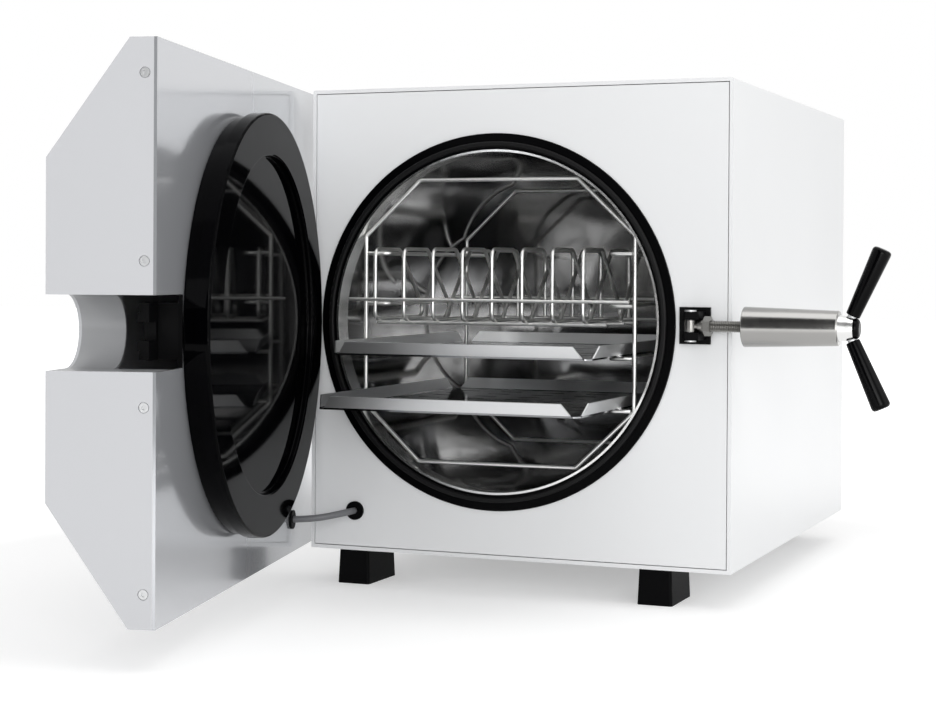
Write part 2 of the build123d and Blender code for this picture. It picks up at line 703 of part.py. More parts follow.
def door_inner_plate():
    """Inner sheet of the door, with flanges folded back inside the cover."""
    back = DOOR_PLANE - PLATE_T
    plate = block(DOOR_U0, DOOR_U1, back, DOOR_PLANE, Z0, Z1)
    wall = DOOR_WALL
    end = back - PLATE_FLANGE
    rim = block(DOOR_U0 + wall, DOOR_U1 - wall, end, back, Z0 + wall, Z1 - wall)
    inner = wall + PLATE_T
    rim -= block(DOOR_U0 + inner, DOOR_U1 - inner, end - 1, back + 1, Z0 + inner, Z1 - inner)
    plate += rim
    grown = NOTCH_R + LINER_T
    plate -= block(NOTCH_U, DOOR_U1 - wall + 1, end - 1, back, AXIS_Z - grown, AXIS_Z + grown)
    plate -= block(PLATE_NOTCH_U, DOOR_U1 + 1, end - 1, 0, AXIS_Z - NOTCH_R, AXIS_Z + NOTCH_R)
    slot = DOOR_KNUCKLE + 0.3
    plate -= block(-KNUCKLE_R - 0.3, KNUCKLE_R + 0.3, back - 1, 0, AXIS_Z - slot, AXIS_Z + slot)
    for u in LID_BOLT_U:
        plate -= rod((u, back - 1, AXIS_Z), (u, 0, AXIS_Z), LID_BOLT_R)
    u, z = DOOR_GROMMET
    plate -= rod((u, back - 1, z), (u, 0, z), CABLE_R + 2)
    for u, s, z, way in door_screw_places():
        plate -= rod((u - way * 8, s, z), (u, s, z), 1.5)
    return plate


def door_screw(u, s, z, way):
    """Recessed screw with a hexagon socket."""
    head_u = u - way * 1.2
    head = rod((head_u, s, z), (head_u + way * 1.0, s, z), 2.9)
    shank = rod((head_u, s, z), (head_u - way * 5.0, s, z), 1.5)
    face = Plane(origin=(head_u + way * 1.1, s, z), z_dir=(-way, 0, 0))
    return head + shank - face * extrude(RegularPolygon(1.4, 6), 0.9)


def lid_plate():
    """Round lid: a stepped disc with a shallow recess in its face."""
    back = DOOR_PLANE
    disc = rod((LID_U, back, AXIS_Z), (LID_U, LID_STEP, AXIS_Z), LID_BACK_R)
    disc += rod((LID_U, LID_STEP, AXIS_Z), (LID_U, LID_FACE, AXIS_Z), LID_R)
    recess = rod((LID_U, LID_FACE - LID_RECESS, AXIS_Z), (LID_U, LID_FACE + 1, AXIS_Z), LID_RECESS_R)
    rims = disc.edges().filter_by(GeomType.CIRCLE).sort_by(Axis.Y)
    disc = fillet([rims[0], rims[-1]], 1.5) - recess
    inner = disc.edges().filter_by(GeomType.CIRCLE).filter_by(lambda e: abs(e.radius - LID_RECESS_R) < 0.1)
    disc = fillet(inner, 1.5)
    skin = LID_FACE - POCKET_SKIN
    disc -= block(-10, POCKET_U, back - 1, skin, AXIS_Z - POCKET_H, AXIS_Z + POCKET_H)
    for u in LID_BOLT_U:
        disc -= rod((u, back - 1, AXIS_Z), (u, back + 8, AXIS_Z), LID_BOLT_R)
    return disc


def lid_yoke():
    """Arm behind the lid, with the door's knuckle at one end and the fork at the other."""
    front = DOOR_PLANE - PLATE_T
    arm = block(-KNUCKLE_R, YOKE_END, YOKE_BACK, front, AXIS_Z - YOKE_HALF, AXIS_Z + YOKE_HALF)
    arm += block(FORK_START, FORK_END, FORK_FACE, YOKE_BACK, AXIS_Z - YOKE_HALF, AXIS_Z + YOKE_HALF)
    step_u, step_s = FORK_STEP
    for side in (-1, 1):
        z0 = AXIS_Z + min(side * (YOKE_HALF + 1), side * FORK_EAR)
        z1 = z0 + YOKE_HALF + 1 - FORK_EAR
        arm -= block(FORK_END - step_u, FORK_END + 1, FORK_FACE - 1, FORK_FACE + step_s, z0, z1)
    low = AXIS_Z - FORK_SLOT
    high = AXIS_Z + FORK_SLOT
    arm -= block(FORK_SLOT_U, FORK_END + 1, FORK_FACE - 1, YOKE_BACK + 1, low, high)
    arm += block(-KNUCKLE_R, KNUCKLE_R, front - 1, 0, AXIS_Z - DOOR_KNUCKLE, AXIS_Z + DOOR_KNUCKLE)
    arm += rod((0, 0, AXIS_Z - DOOR_KNUCKLE), (0, 0, AXIS_Z + DOOR_KNUCKLE), KNUCKLE_R)
    arm -= rod((0, 0, 0), (0, 0, 400), PIN_R + RUN_FIT)
    for u in LID_BOLT_U:
        arm -= rod((u, YOKE_BACK - 1, AXIS_Z), (u, front + 1, AXIS_Z), LID_BOLT_R)
    return arm


def lid_bolt(u):
    """Bolt from the yoke through the inner plate into the lid."""
    shank = rod((u, YOKE_BACK, AXIS_Z), (u, DOOR_PLANE + 7, AXIS_Z), LID_BOLT_R)
    head = Plane(origin=(u, YOKE_BACK, AXIS_Z), z_dir=(0, -1, 0)) * extrude(RegularPolygon(7, 6), 4.5)
    return shank + head


def control_fascia():
    """Dark panel on the door's outer face, with room for the window, buttons and lights."""
    u0, u1, z0, z1 = FASCIA
    front = DOOR_FACE - FASCIA_T
    panel = block(u0, u1, front, DOOR_FACE, z0, z1)
    panel = fillet(panel.edges().filter_by(Axis.Y), 5)
    panel -= block(WINDOW[0], WINDOW[1], front - 1, DOOR_FACE + 1, WINDOW[2], WINDOW[3])
    for u in BUTTON_U:
        panel -= rod((u, front - 1, BUTTON_Z), (u, DOOR_FACE + 1, BUTTON_Z), BUTTON_R + SIDE_GAP)
    for u in LIGHT_U:
        panel -= rod((u, front - 1, LIGHT_Z), (u, DOOR_FACE + 1, LIGHT_Z), LIGHT_R)
    return panel


def display_window():
    """Clear window, flush with the fascia."""
    u0, u1, z0, z1 = WINDOW
    return block(u0, u1, DOOR_FACE - FASCIA_T, DOOR_FACE + DOOR_WALL, z0, z1)


def display_board():
    """Board behind the fascia, on four standoffs, with the display and the key switches."""
    u0, u1, z0, z1 = FASCIA
    face = DOOR_FACE + DOOR_WALL + DISPLAY_BACK
    board = block(u0, u1, face, face + 1.6, z0, z1)
    for u in (u0 + 5, u1 - 5):
        for z in (z0 + 5, z1 - 5):
            board += rod((u, DOOR_FACE + DOOR_WALL, z), (u, face, z), 3.0)
    board += block(WINDOW[0] + 4, WINDOW[1] - 4, DOOR_FACE + DOOR_WALL, face, WINDOW[2] + 3, WINDOW[3] - 3)
    key = BUTTON_COLLAR + 2 * SIDE_GAP + BUTTON_TRAVEL
    for u in BUTTON_U:
        board += rod((u, DOOR_FACE + DOOR_WALL + key, BUTTON_Z), (u, face, BUTTON_Z), 2.5)
    return board


def status_light(u):
    front = DOOR_FACE - FASCIA_T - 0.6
    return rod((u, front, LIGHT_Z), (u, DOOR_FACE + DOOR_WALL + DISPLAY_BACK, LIGHT_Z), LIGHT_R)


def push_button(u):
    """Round key with a collar behind the cover."""
    front = DOOR_FACE - FASCIA_T - BUTTON_PROUD
    collar = DOOR_FACE + DOOR_WALL + SIDE_GAP
    key = rod((u, front, BUTTON_Z), (u, collar, BUTTON_Z), BUTTON_R)
    key = chamfer(key.edges().filter_by(GeomType.CIRCLE).sort_by(Axis.Y)[0:1], 0.5)
    return key + rod((u, collar, BUTTON_Z), (u, collar + BUTTON_COLLAR, BUTTON_Z), BUTTON_R + 1.4)


def closure_clevis():
    """Fork-shaped bracket on the front panel that carries the swing bolt."""
    foot_y = FRONT - CLEVIS_BASE
    out_y = FRONT - EAR_OUT
    left = CLEVIS_X - EAR_LEFT
    top = EAR_IN + EAR_T
    base_right = CLEVIS_X + EAR_FOOT_RIGHT + 3
    base = block(left - 5, base_right, foot_y, FRONT, AXIS_Z - top - 3, AXIS_Z + top + 3)
    cut = CLEVIS_CORNER
    plan = [(left, foot_y), (left, out_y + cut), (left + cut, out_y)]
    plan += [(CLEVIS_X + EAR_RIGHT, out_y), (CLEVIS_X + EAR_FOOT_RIGHT, foot_y)]
    ear = make_face(Polyline(*plan, close=True))
    body = base
    for z in (AXIS_Z - top, AXIS_Z + EAR_IN):
        body += extrude(Pos(0, 0, z) * ear, amount=EAR_T)
    return body - rod((CLEVIS_X, PIN_Y, AXIS_Z - 40), (CLEVIS_X, PIN_Y, AXIS_Z + 40), CLEVIS_PIN_R)


def clevis_pin():
    top = EAR_IN + EAR_T
    pin = rod((CLEVIS_X, PIN_Y, AXIS_Z - top), (CLEVIS_X, PIN_Y, AXIS_Z + top), CLEVIS_PIN_R)
    head_t, head_grow = CLEVIS_PIN_HEAD
    for z in (AXIS_Z - top - head_t, AXIS_Z + top):
        pin += rod((CLEVIS_X, PIN_Y, z), (CLEVIS_X, PIN_Y, z + head_t), CLEVIS_PIN_R + head_grow)
    return pin


def along(start, end, radius, radius2=None):
    """A round bar on the swing bolt's axis, between two distances from its pin."""
    return rod((CLEVIS_X + start, PIN_Y, AXIS_Z), (CLEVIS_X + end, PIN_Y, AXIS_Z), radius, radius2)


def swing_bolt():
    """Eye bolt that swings on the clevis pin."""
    half = EAR_IN - EYE_GAP
    eye = rod((CLEVIS_X, PIN_Y, AXIS_Z - half), (CLEVIS_X, PIN_Y, AXIS_Z + half), EYE_R)
    bolt = eye + along(0, COLLAR[0], SHANK_R) + along(COLLAR[0], COLLAR[1], COLLAR_R)
    bolt += along(COLLAR[1], ROD_END, ROD_R)
    hole = CLEVIS_PIN_R + RUN_FIT
    return bolt - rod((CLEVIS_X, PIN_Y, AXIS_Z - 9), (CLEVIS_X, PIN_Y, AXIS_Z + 9), hole)


def lock_nut():
    flat = NUT_AF / 2 / math.cos(math.pi / 6)
    start = Plane(origin=(CLEVIS_X + LOCK_NUT[0], PIN_Y, AXIS_Z), x_dir=(0, 0, 1), z_dir=(1, 0, 0))
    nut = start * extrude(RegularPolygon(flat, 6), LOCK_NUT[1] - LOCK_NUT[0])
    return nut - along(0, 30, ROD_R)


def thrust_washer():
    """Washer that takes the nut's pressure against the fork."""
    start = BARREL_START - WASHER_PROUD
    return along(start, start + WASHER_T, WASHER_R) - along(0, 60, BORE_R)


def clamp_nut():
    """Tapered barrel nut on the threaded rod."""
    barrel = along(BARREL_START, BARREL_END, BARREL_R0, BARREL_R1)
    barrel -= along(0, BORE_END, BORE_R)
    seat = BARREL_START + WASHER_T + SIDE_GAP - WASHER_PROUD
    return barrel - along(BARREL_START - 1, seat, WASHER_R + SIDE_GAP)


def lever_point(radius, side):
    """A point on a lever's axis."""
    lean = math.radians(LEVER_LEAN)
    hub = BARREL_END + LEVER_BACK
    x = CLEVIS_X + hub + radius * math.cos(lean)
    return (x, PIN_Y, AXIS_Z + side * radius * math.sin(lean))


def lever_stud(side):
    return rod(lever_point(3, side), lever_point(LEVER_IN + STUD_DEPTH, side), STUD_R)


def lever(side):
    """Tapered grip with a rounded end."""
    grip = rod(lever_point(LEVER_IN, side), lever_point(LEVER_OUT, side), LEVER_R0, LEVER_R1)
    rims = grip.edges().filter_by(GeomType.CIRCLE)
    rims = rims.sort_by(lambda e: e.radius)
    grip = fillet(rims[-1], LEVER_R1 * 0.5)
    return grip - lever_stud(side)


def handle_hub():
    """Cone behind the barrel that holds both levers."""
    hub = along(BARREL_END, BARREL_END + HUB_L, HUB_R0, HUB_R1)
    return hub - lever_stud(1) - lever_stud(-1)


def hub_cap():
    """Domed cap on the hub's end."""
    start = BARREL_END + HUB_L
    base = HUB_R1 - 0.6
    blank = along(start, start + CAP_L, base)
    dome = fillet(blank.edges().filter_by(GeomType.CIRCLE).sort_by(Axis.X)[-1], CAP_L * 0.8)
    return dome - lever_stud(1) - lever_stud(-1)


def wire_point(x, depth, z):
    """A point of the rack, from the chamber's axis and the front panel."""
    return (CHAMBER_X + x, FRONT + depth, AXIS_Z + z)


def rack_frame(depth):
    """Eight-sided wire frame that stands on the chamber's wall."""
    w = RACK_HALF_W
    h = RACK_HALF_H
    s = RACK_SHOULDER
    t = RACK_TOP_HALF
    corners = [(w, s), (t, h), (-t, h), (-w, s), (-w, -s), (-t, -h), (t, -h), (w, -s)]
    points = [wire_point(x, depth, z) for x, z in corners]
    return bent_wire(points, RACK_BEND, WIRE_R, closed=True)


def rail_heights():
    return [RAIL_TOP - RAIL_PITCH * i for i in range(RAIL_COUNT)]


def rack_rail(side, z):
    """Rail from front to back, with a stub out to the frame at each end."""
    weld = LOW_WELD if abs(z) > RACK_SHOULDER - RACK_BEND else WELD
    x0 = side * (RACK_HALF_W - WIRE_R - weld)
    x1 = side * RAIL_X
    back = RACK_FRONT + RACK_L
    points = [(x0, RACK_FRONT), (x1, RACK_FRONT), (x1, back), (x0, back)]
    return bent_wire([wire_point(x, depth, z) for x, depth in points], RAIL_BEND, WIRE_R)


def front_hoop(x):
    """Front divider of the pouch rack, a leaning closed wire."""
    near, shoulder, far = POUCH_FRONT
    points = [(near, POUCH_LOW), (near, POUCH_TOP), (shoulder, POUCH_TOP), (far, POUCH_LOW)]
    return bent_wire([wire_point(x, y, z) for y, z in points], POUCH_BEND, POUCH_R, closed=True)


def rear_hoop(x):
    """Rear divider, the other way round, open at its foot."""
    near, shoulder, far = POUCH_REAR
    points = [(near, POUCH_LOW), (shoulder, POUCH_TOP), (far, POUCH_TOP), (far, POUCH_LOW)]
    wire = bent_wire([wire_point(x, y, z) for y, z in points], POUCH_BEND, POUCH_R)
    ball = Pos(*wire_point(x, near, POUCH_LOW)) * Sphere(POUCH_BALL_R)
    return wire + ball


def pouch_bars():
    """Long wires that tie the dividers together."""
    under = POUCH_LOW - 2 * POUCH_R
    front, rear = POUCH_END_BARS
    reach = RACK_HALF_W - 8
    first = POUCH_X0 - 3
    last = POUCH_X0 + POUCH_PITCH * (POUCH_FRONT_COUNT - 0.5) + 3
    bars = [(front, BAR_Z, -RACK_HALF_W - 11, RACK_HALF_W - 3), (rear, BAR_Z, -reach, reach)]
    bars += [(depth, under, first, last) for depth in POUCH_TIES]
    bars.append((POUCH_REAR[2], POUCH_LOW - POUCH_R, POUCH_X0 + POUCH_PITCH * 1.5 - 3, last))
    solids = []
    for depth, z, x0, x1 in bars:
        solids.append(rod(wire_point(x0, depth, z), wire_point(x1, depth, z), POUCH_R))
    return solids


def tray(front, rail):
    """Folded tray with open corners and rows of slots."""
    y0 = FRONT + front
    z = AXIS_Z + rail_heights()[rail] + WIRE_R + TRAY_GAP
    w = TRAY_HALF_W
    x = CHAMBER_X
    floor = block(x - w, x + w, y0 + 2, y0 + TRAY_L - 2, z, z + TRAY_T)
    floor = fillet(floor.edges().filter_by(Axis.Z), TRAY_CORNER)
    slots = []
    for row in range(SLOT_ROWS):
        for column in range(SLOT_COLUMNS):
            x0 = x + (row - (SLOT_ROWS - 1) / 2) * SLOT_PITCH_X - SLOT_W / 2
            start = y0 + SLOT_START + column * SLOT_PITCH_Y - SLOT_L / 2
            slots.append(block(x0, x0 + SLOT_W, start, start + SLOT_L, z - 1, z + 2))
    body = floor - Compound(children=slots)
    half_l = TRAY_L / 2 - 2
    for turn, edge, half in ((0, -w, half_l), (90, -half_l, w), (180, -w, half_l), (270, -half_l, w)):
        low = half - RIM_CUT_LOW
        high = half - RIM_CUT_HIGH
        side = make_face(Polyline((-low, 0), (low, 0), (high, TRAY_RIM), (-high, TRAY_RIM), close=True))
        rim = extrude(side, TRAY_T)
        stand = Rot(0, 0, 90) * Rot(90, 0, 0) * rim
        place = Pos(x, y0 + TRAY_L / 2, z) * Rot(0, 0, turn) * Pos(edge, 0, 0) * Rot(0, -TRAY_LEAN, 0)
        body += place * stand
    return body


def grommet():
    """Rubber grommet round the cable, with its axis along Y and its flange at the front."""
    body = rod((0, -2, 0), (0, 0, 0), CABLE_R + 4.5)
    body += rod((0, 0, 0), (0, 4, 0), CABLE_R + 2)
    return body - rod((0, -3, 0), (0, 6, 0), CABLE_R)


def cable_route():
    """The cable's points, from inside the panel to inside the door."""
    x, z = PANEL_GROMMET
    u, door_z = DOOR_GROMMET
    angle = math.radians(DOOR_REST)
    along_u = (math.cos(angle), -math.sin(angle))
    along_s = (math.sin(angle), math.cos(angle))

    def door_point(s):
        px = HINGE_X + u * along_u[0] + s * along_s[0]
        py = HINGE_Y + u * along_u[1] + s * along_s[1]
        return (px, py, door_z)

    inside, out = CABLE_OUT
    bend = door_point(DOOR_PLANE + CABLE_IN[0])
    return [(x, FRONT + inside, z), (x, FRONT - out, z), bend, door_point(DOOR_PLANE - CABLE_IN[1])]


def door_cable():
    """Cable from the panel to the door, in straight runs joined by wide bends."""
    points = [Vector(*p) for p in cable_route()]
    radii = []
    for a, b, c in zip(points, points[1:], points[2:]):
        turn = math.radians((b - a).get_angle(c - b))
        shorter = min((b - a).length, (c - b).length)
        radii.append(0.45 * shorter / math.tan(turn / 2))
    path = FilletPolyline(*points, radius=radii)
    section = Plane(origin=path @ 0, z_dir=path % 0) * Circle(CABLE_R)
    return sweep(section, path=path)


def save_door(name, *solids):
    """Write a sub-part of the door, turned to where the door stands open."""
    save(name, *[OPENED * solid for solid in solids])


save("casing", casing())
save("rear_screws", *rear_screws())
save("base_pan", base_pan())
save("front_panel", front_panel())
save("rear_panel", rear_panel())
save("feet", *[foot(x, y) for x, y in foot_places()])
save("foot_screws", *[foot_screw(x, y) for x, y in foot_places()])
save("chamber_vessel", chamber_vessel())
save("chamber_flange", chamber_flange())
save("mouth_ring", mouth_ring())
save("mouth_gasket", mouth_gasket())
save("chamber_saddles", *[saddle(depth) for depth in SADDLES])
save("band_heater", chamber_ring(HEATER[0], HEATER[1], VESSEL_R + HEATER_T, VESSEL_R))
save("insulation_jacket", *jacket())
save("temperature_probe", end_fitting(PROBE, ((8, 7.0), (32, 3.0))))
save("safety_valve", end_fitting(RELIEF, ((12, 7.0), (28, 10.0), (12, 5.0))))
save("solenoid_valve", solenoid_valve())
save("steam_pipe", steam_pipe())
save("drain_spigot", drain_spigot())
save("control_board", control_board())
save("power_inlet", power_inlet())
save("rocker_switch", rocker_switch())
save("hinge_leaf", hinge_leaf())
save("hinge_pin", hinge_pin())
save("hinge_screws", *[hinge_screw(*place) for place in hinge_screw_places()])
save("closure_clevis", closure_clevis())
save("clevis_pin", clevis_pin())
save("panel_grommet", Pos(PANEL_GROMMET[0], FRONT, PANEL_GROMMET[1]) * grommet())
save("door_cable", door_cable())

save_door("door_cover", door_cover())
save_door("notch_liner", notch_liner())
save_door("door_inner_plate", door_inner_plate())
save_door("door_screws", *[door_screw(*place) for place in door_screw_places()])
save_door("lid_plate", lid_plate())
save_door("lid_yoke", lid_yoke())
save_door("lid_bolts", *[lid_bolt(u) for u in LID_BOLT_U])
save_door("door_grommet", Pos(DOOR_GROMMET[0], DOOR_PLANE, DOOR_GROMMET[1]) * Rot(0, 0, 180) * grommet())
save_door("control_fascia", control_fascia())
save_door("display_window", display_window())
save_door("display_board", display_board())
save_door("status_lights", *[status_light(u) for u in LIGHT_U])
for name, u in zip(("start_button", "mode_button", "stop_button"), BUTTON_U):
    save_door(name, push_button(u))

save("swing_bolt", swing_bolt())
save("lock_nut", lock_nut())
save("thrust_washer", thrust_washer())
save("clamp_nut", clamp_nut())
save("handle_hub", handle_hub())
save("hub_cap", hub_cap())
save("levers", lever(1), lever(-1))
save("lever_studs", lever_stud(1), lever_stud(-1))

save("rack_front_frame", rack_frame(RACK_FRONT))
save("rack_rear_frame", rack_frame(RACK_FRONT + RACK_L))
save("rack_rails", *[rack_rail(side, z) for z in rail_heights() for side in (-1, 1)])
hoops = range(POUCH_FRONT_COUNT)
save("pouch_front_hoops", *[front_hoop(POUCH_X0 + POUCH_PITCH * i) for i in hoops])
save("pouch_rear_hoops", *[rear_hoop(POUCH_X0 + POUCH_PITCH * (i + 1.5)) for i in hoops[:-1]])
save("pouch_bars", *pouch_bars())
save("upper_tray", tray(-UPPER_TRAY_OUT, 2))
save("lower_tray", tray(-LOWER_TRAY_OUT, 3))
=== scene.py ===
# %% [markdown]
# This notebook dresses a bench-top steam steriliser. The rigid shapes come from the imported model, which is
# the frame: each node lies where the machine has it. What is added here is what light shows: powder coat,
# polished steel, gloss black enamel, and new meshes for what the model keeps plain or lacks. Those are a cut
# thread, the barrel and its levers, bent rack wires, a soft cable and a thin edge strip.

# %% Load the frame
import math
import bmesh
import bpy
import numpy as np
from mathutils import Matrix, Vector


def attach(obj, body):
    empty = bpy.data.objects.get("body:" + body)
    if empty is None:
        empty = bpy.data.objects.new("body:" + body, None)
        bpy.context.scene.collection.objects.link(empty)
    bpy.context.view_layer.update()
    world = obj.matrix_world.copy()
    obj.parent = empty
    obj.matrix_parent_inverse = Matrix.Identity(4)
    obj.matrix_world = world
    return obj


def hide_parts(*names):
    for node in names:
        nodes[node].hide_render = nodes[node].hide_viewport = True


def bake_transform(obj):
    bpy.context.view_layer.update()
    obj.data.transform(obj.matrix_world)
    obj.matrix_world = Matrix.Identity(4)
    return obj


MM = 0.001

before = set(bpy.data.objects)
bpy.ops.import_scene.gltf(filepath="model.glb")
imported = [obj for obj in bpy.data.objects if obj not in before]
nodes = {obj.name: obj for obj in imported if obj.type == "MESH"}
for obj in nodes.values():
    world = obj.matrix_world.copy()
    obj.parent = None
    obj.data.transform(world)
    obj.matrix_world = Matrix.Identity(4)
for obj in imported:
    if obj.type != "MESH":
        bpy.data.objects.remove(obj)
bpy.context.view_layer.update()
scene = bpy.context.scene
print("nodes in the frame:", len(nodes))

# %% [markdown]
# The camera stands where the photographer stood, to the right of the machine and about as high as its
# middle. A lens shift moves the picture without tilting the camera, which keeps the uprights upright. It
# could be placed by eye, but a camera worked out from the cabinet's corners lets the render be laid over
# the photograph.

# %% Camera
IMAGE_W = 936
IMAGE_H = 715
FOCAL_PX = 1916.9
HORIZON_PX = 286.34
SENSOR_MM = 36.0
CLIP_END_M = 50
CAMERA_AT = Vector((0.4804, -1.3399, 0.2392))
YAW = math.radians(22.05)
TILT = math.radians(0.53)
ROLL = math.radians(0.32)

ahead = Vector((-math.sin(YAW) * math.cos(TILT), math.cos(YAW) * math.cos(TILT), -math.sin(TILT)))
level = Vector((math.cos(YAW), math.sin(YAW), 0.0))
above = level.cross(ahead)
right = math.cos(ROLL) * level + math.sin(ROLL) * above
up = -math.sin(ROLL) * level + math.cos(ROLL) * above

camera_data = bpy.data.cameras.new("camera")
camera_data.sensor_width = SENSOR_MM
camera_data.lens = FOCAL_PX / IMAGE_W * SENSOR_MM
camera_data.shift_y = (HORIZON_PX - IMAGE_H / 2) / IMAGE_W
camera_data.clip_end = CLIP_END_M
camera = bpy.data.objects.new("camera", camera_data)
axes = Matrix((right, up, -ahead)).transposed().to_4x4()
camera.matrix_world = Matrix.Translation(CAMERA_AT) @ axes
scene.collection.objects.link(camera)
scene.camera = camera
scene.view_settings.view_transform = "Standard"
print("lens", round(camera_data.lens, 2), "shift", round(camera_data.shift_y, 4))

# %% [markdown]
# Every colour is written as the sRGB value a designer would read off a chart, and turned to linear light in
# one place. One more helper adds a node, sets its inputs and links it. The same could be clicked together
# in the shader editor, but written out it can be read and changed in one place.

# %% Colour and node helpers
def linear(hex_colour):
    """Linear RGBA of an sRGB hex value: below 0.04045 a straight line, above it the 2.4 power curve."""
    values = [int(hex_colour[i:i + 2], 16) / 255 for i in (1, 3, 5)]
    return tuple(v / 12.92 if v <= 0.04045 else ((v + 0.055) / 1.055) ** 2.4 for v in values) + (1.0,)


def node(tree, kind, inputs=None, **settings):
    """Add a node. inputs maps a socket's name or number to a value or to another node's output."""
    made = tree.nodes.new(kind)
    for key, value in settings.items():
        setattr(made, key, value)
    for key, value in (inputs or {}).items():
        if isinstance(value, bpy.types.NodeSocket):
            tree.links.new(value, made.inputs[key])
        else:
            made.inputs[key].default_value = value
    return made


def material(name):
    """A new material, its node tree and its Principled shader."""
    made = bpy.data.materials.new(name)
    made.use_nodes = True
    shader = made.node_tree.nodes["Principled BSDF"]
    return made, made.node_tree, shader


def dress(mat, *names):
    """Give CAD nodes this material."""
    for name in names:
        mesh = nodes[name].data
        mesh.materials.clear()
        mesh.materials.append(mat)
    print(mat.name, "on", len(names), "nodes")


print("helpers ready")

# %% [markdown]
# The casing is steel sheet with a white powder coat. The coat flows out nearly flat and leaves a fine orange
# peel, a millimetre or two across, that blurs the light's edge. It could be a photograph of paint laid on
# the sheet, but noise in the shader never repeats and has the right size on every sheet.

# %% Powder coat
COAT_WAVE_MM = 0.05
TINT_A_METRE = 6.0
TINT_STEP = 1.05


def powder_coat(name, colour, roughness, peel_mm, depth):
    """Paint: noise peel_mm across bumps it, and slow noise drifts its colour by a twentieth."""
    mat, tree, shader = material(name)
    place = node(tree, "ShaderNodeTexCoord")
    peel = node(tree, "ShaderNodeTexNoise", {"Vector": place.outputs["Object"],
                                             "Scale": 1 / (peel_mm * MM), "Detail": 2.0})
    bump = node(tree, "ShaderNodeBump", {"Height": peel.outputs[0], "Strength": depth,
                                         "Distance": COAT_WAVE_MM * MM})
    tint = node(tree, "ShaderNodeTexNoise", {"Vector": place.outputs["Object"], "Scale": TINT_A_METRE,
                                             "Detail": 1.0})
    paler = [min(1.0, part * TINT_STEP) for part in linear(colour)]
    shade = node(tree, "ShaderNodeMixRGB", {"Fac": tint.outputs[0], "Color1": linear(colour), "Color2": paler})
    tree.links.new(shade.outputs[0], shader.inputs["Base Color"])
    tree.links.new(bump.outputs[0], shader.inputs["Normal"])
    shader.inputs["Roughness"].default_value = roughness
    shader.inputs["IOR"].default_value = 1.5
    return mat


# White polyester powder on the cabinet: soft, wide highlights.
casing_coat = powder_coat("white_powder_coat", "#E9EAEB", 0.32, 1.6, 0.25)
# The same powder on the door's cover, in light grey: painted shade that makes the cover darker than the
# cabinet.
cover_shade_coat = powder_coat("door_powder_painted_shade", "#C5C6C9", 0.32, 1.6, 0.25)
# The notch's lining, in a deeper grey: painted shade for the shaded inside of the door.
liner_shade_coat = powder_coat("shaded_liner_coat", "#9C9D9F", 0.3, 1.6, 0.25)
dress(casing_coat, "casing", "base_pan", "front_panel", "rear_panel")
dress(cover_shade_coat, "door_cover")
dress(liner_shade_coat, "notch_liner")

# %% [markdown]
# The door's inner plate mirrors the lid in a dark band beside it, as plain paint doesn't. It is taken for
# plated sheet under a clear lacquer: half metal, with a thin glossy coat over it.

# %% Door plate
# Its grey is painted shade: the plate is coloured darker than the cabinet's white for the shade it lies in.
door_plate_shade_coat = powder_coat("satin_plated_sheet_shaded", "#C0C2C6", 0.16, 3.0, 0.12)
door_shader = door_plate_shade_coat.node_tree.nodes["Principled BSDF"]
door_shader.inputs["Metallic"].default_value = 0.5
door_shader.inputs["Coat Weight"].default_value = 0.6
door_shader.inputs["Coat Roughness"].default_value = 0.08
door_shader.inputs["Coat IOR"].default_value = 1.8
dress(door_plate_shade_coat, "door_inner_plate")

# %% [markdown]
# Stainless steel shows how it was worked. The chamber is polished like a mirror, trays are rolled sheet, the
# barrel was turned on a lathe, and wire is drawn and bright all over. One function makes them all: noise is
# drawn out along the direction of the work, and it changes both the roughness and the bump. Real scratches
# are a few hundredths of a millimetre wide, too fine for the picture, so they are drawn about 0.6 mm wide.

# %% Stainless steel finishes
LINE_WAVE_MM = 0.02
CHAMBER_WAVE_MM = 0.06


def steel(name, colour, roughness, stretch, line_mm, depth, wave_mm=LINE_WAVE_MM):
    """Worked steel: noise line_mm wide and wave_mm high, longest along the axis where stretch is small."""
    mat, tree, shader = material(name)
    place = node(tree, "ShaderNodeTexCoord")
    scale = 1 / (line_mm * MM)
    drawn = node(tree, "ShaderNodeMapping", {"Vector": place.outputs["Object"],
                                             "Scale": [s * scale for s in stretch]})
    lines = node(tree, "ShaderNodeTexNoise", {"Vector": drawn.outputs[0], "Scale": 1.0, "Detail": 3.0})
    rough = node(tree, "ShaderNodeMapRange", {"Value": lines.outputs[0], "To Min": roughness * 0.7,
                                              "To Max": roughness * 1.4})
    bump = node(tree, "ShaderNodeBump", {"Height": lines.outputs[0], "Strength": depth,
                                         "Distance": wave_mm * MM})
    tree.links.new(rough.outputs[0], shader.inputs["Roughness"])
    tree.links.new(bump.outputs[0], shader.inputs["Normal"])
    shader.inputs["Base Color"].default_value = linear(colour)
    shader.inputs["Metallic"].default_value = 1.0
    return mat


# Mirror polish on rolled plate. The plate's long shallow waves bend what it mirrors.
chamber_steel = steel("mirror_polished_chamber", "#969696", 0.09, (1.0, 0.5, 1.0), 40.0, 1.0, CHAMBER_WAVE_MM)
# Plain bolt steel, greyer and duller than the chrome about it.
bolt_steel = steel("plain_steel_bolt", "#8C8B88", 0.3, (0.5, 0.5, 0.5), 0.6, 0.2)
# A turned lip: a thin bright ring round the dark chamber.
lip_steel = steel("bright_turned_lip", "#E6E6E5", 0.22, (0.3, 0.3, 0.3), 1.0, 0.1)
# Rolled tray sheet, with its grain along Y. Its colour and its gloss are set again in the next cell.
tray_steel = steel("rolled_tray_steel", "#D6D7D9", 0.24, (1.0, 0.04, 1.0), 0.7, 0.2)
# Turned barrel: the fine rings stand across its axis, so highlights run along it.
turned_steel = steel("turned_barrel_steel", "#A3A2A0", 0.2, (1.0, 0.05, 0.05), 0.5, 0.3)
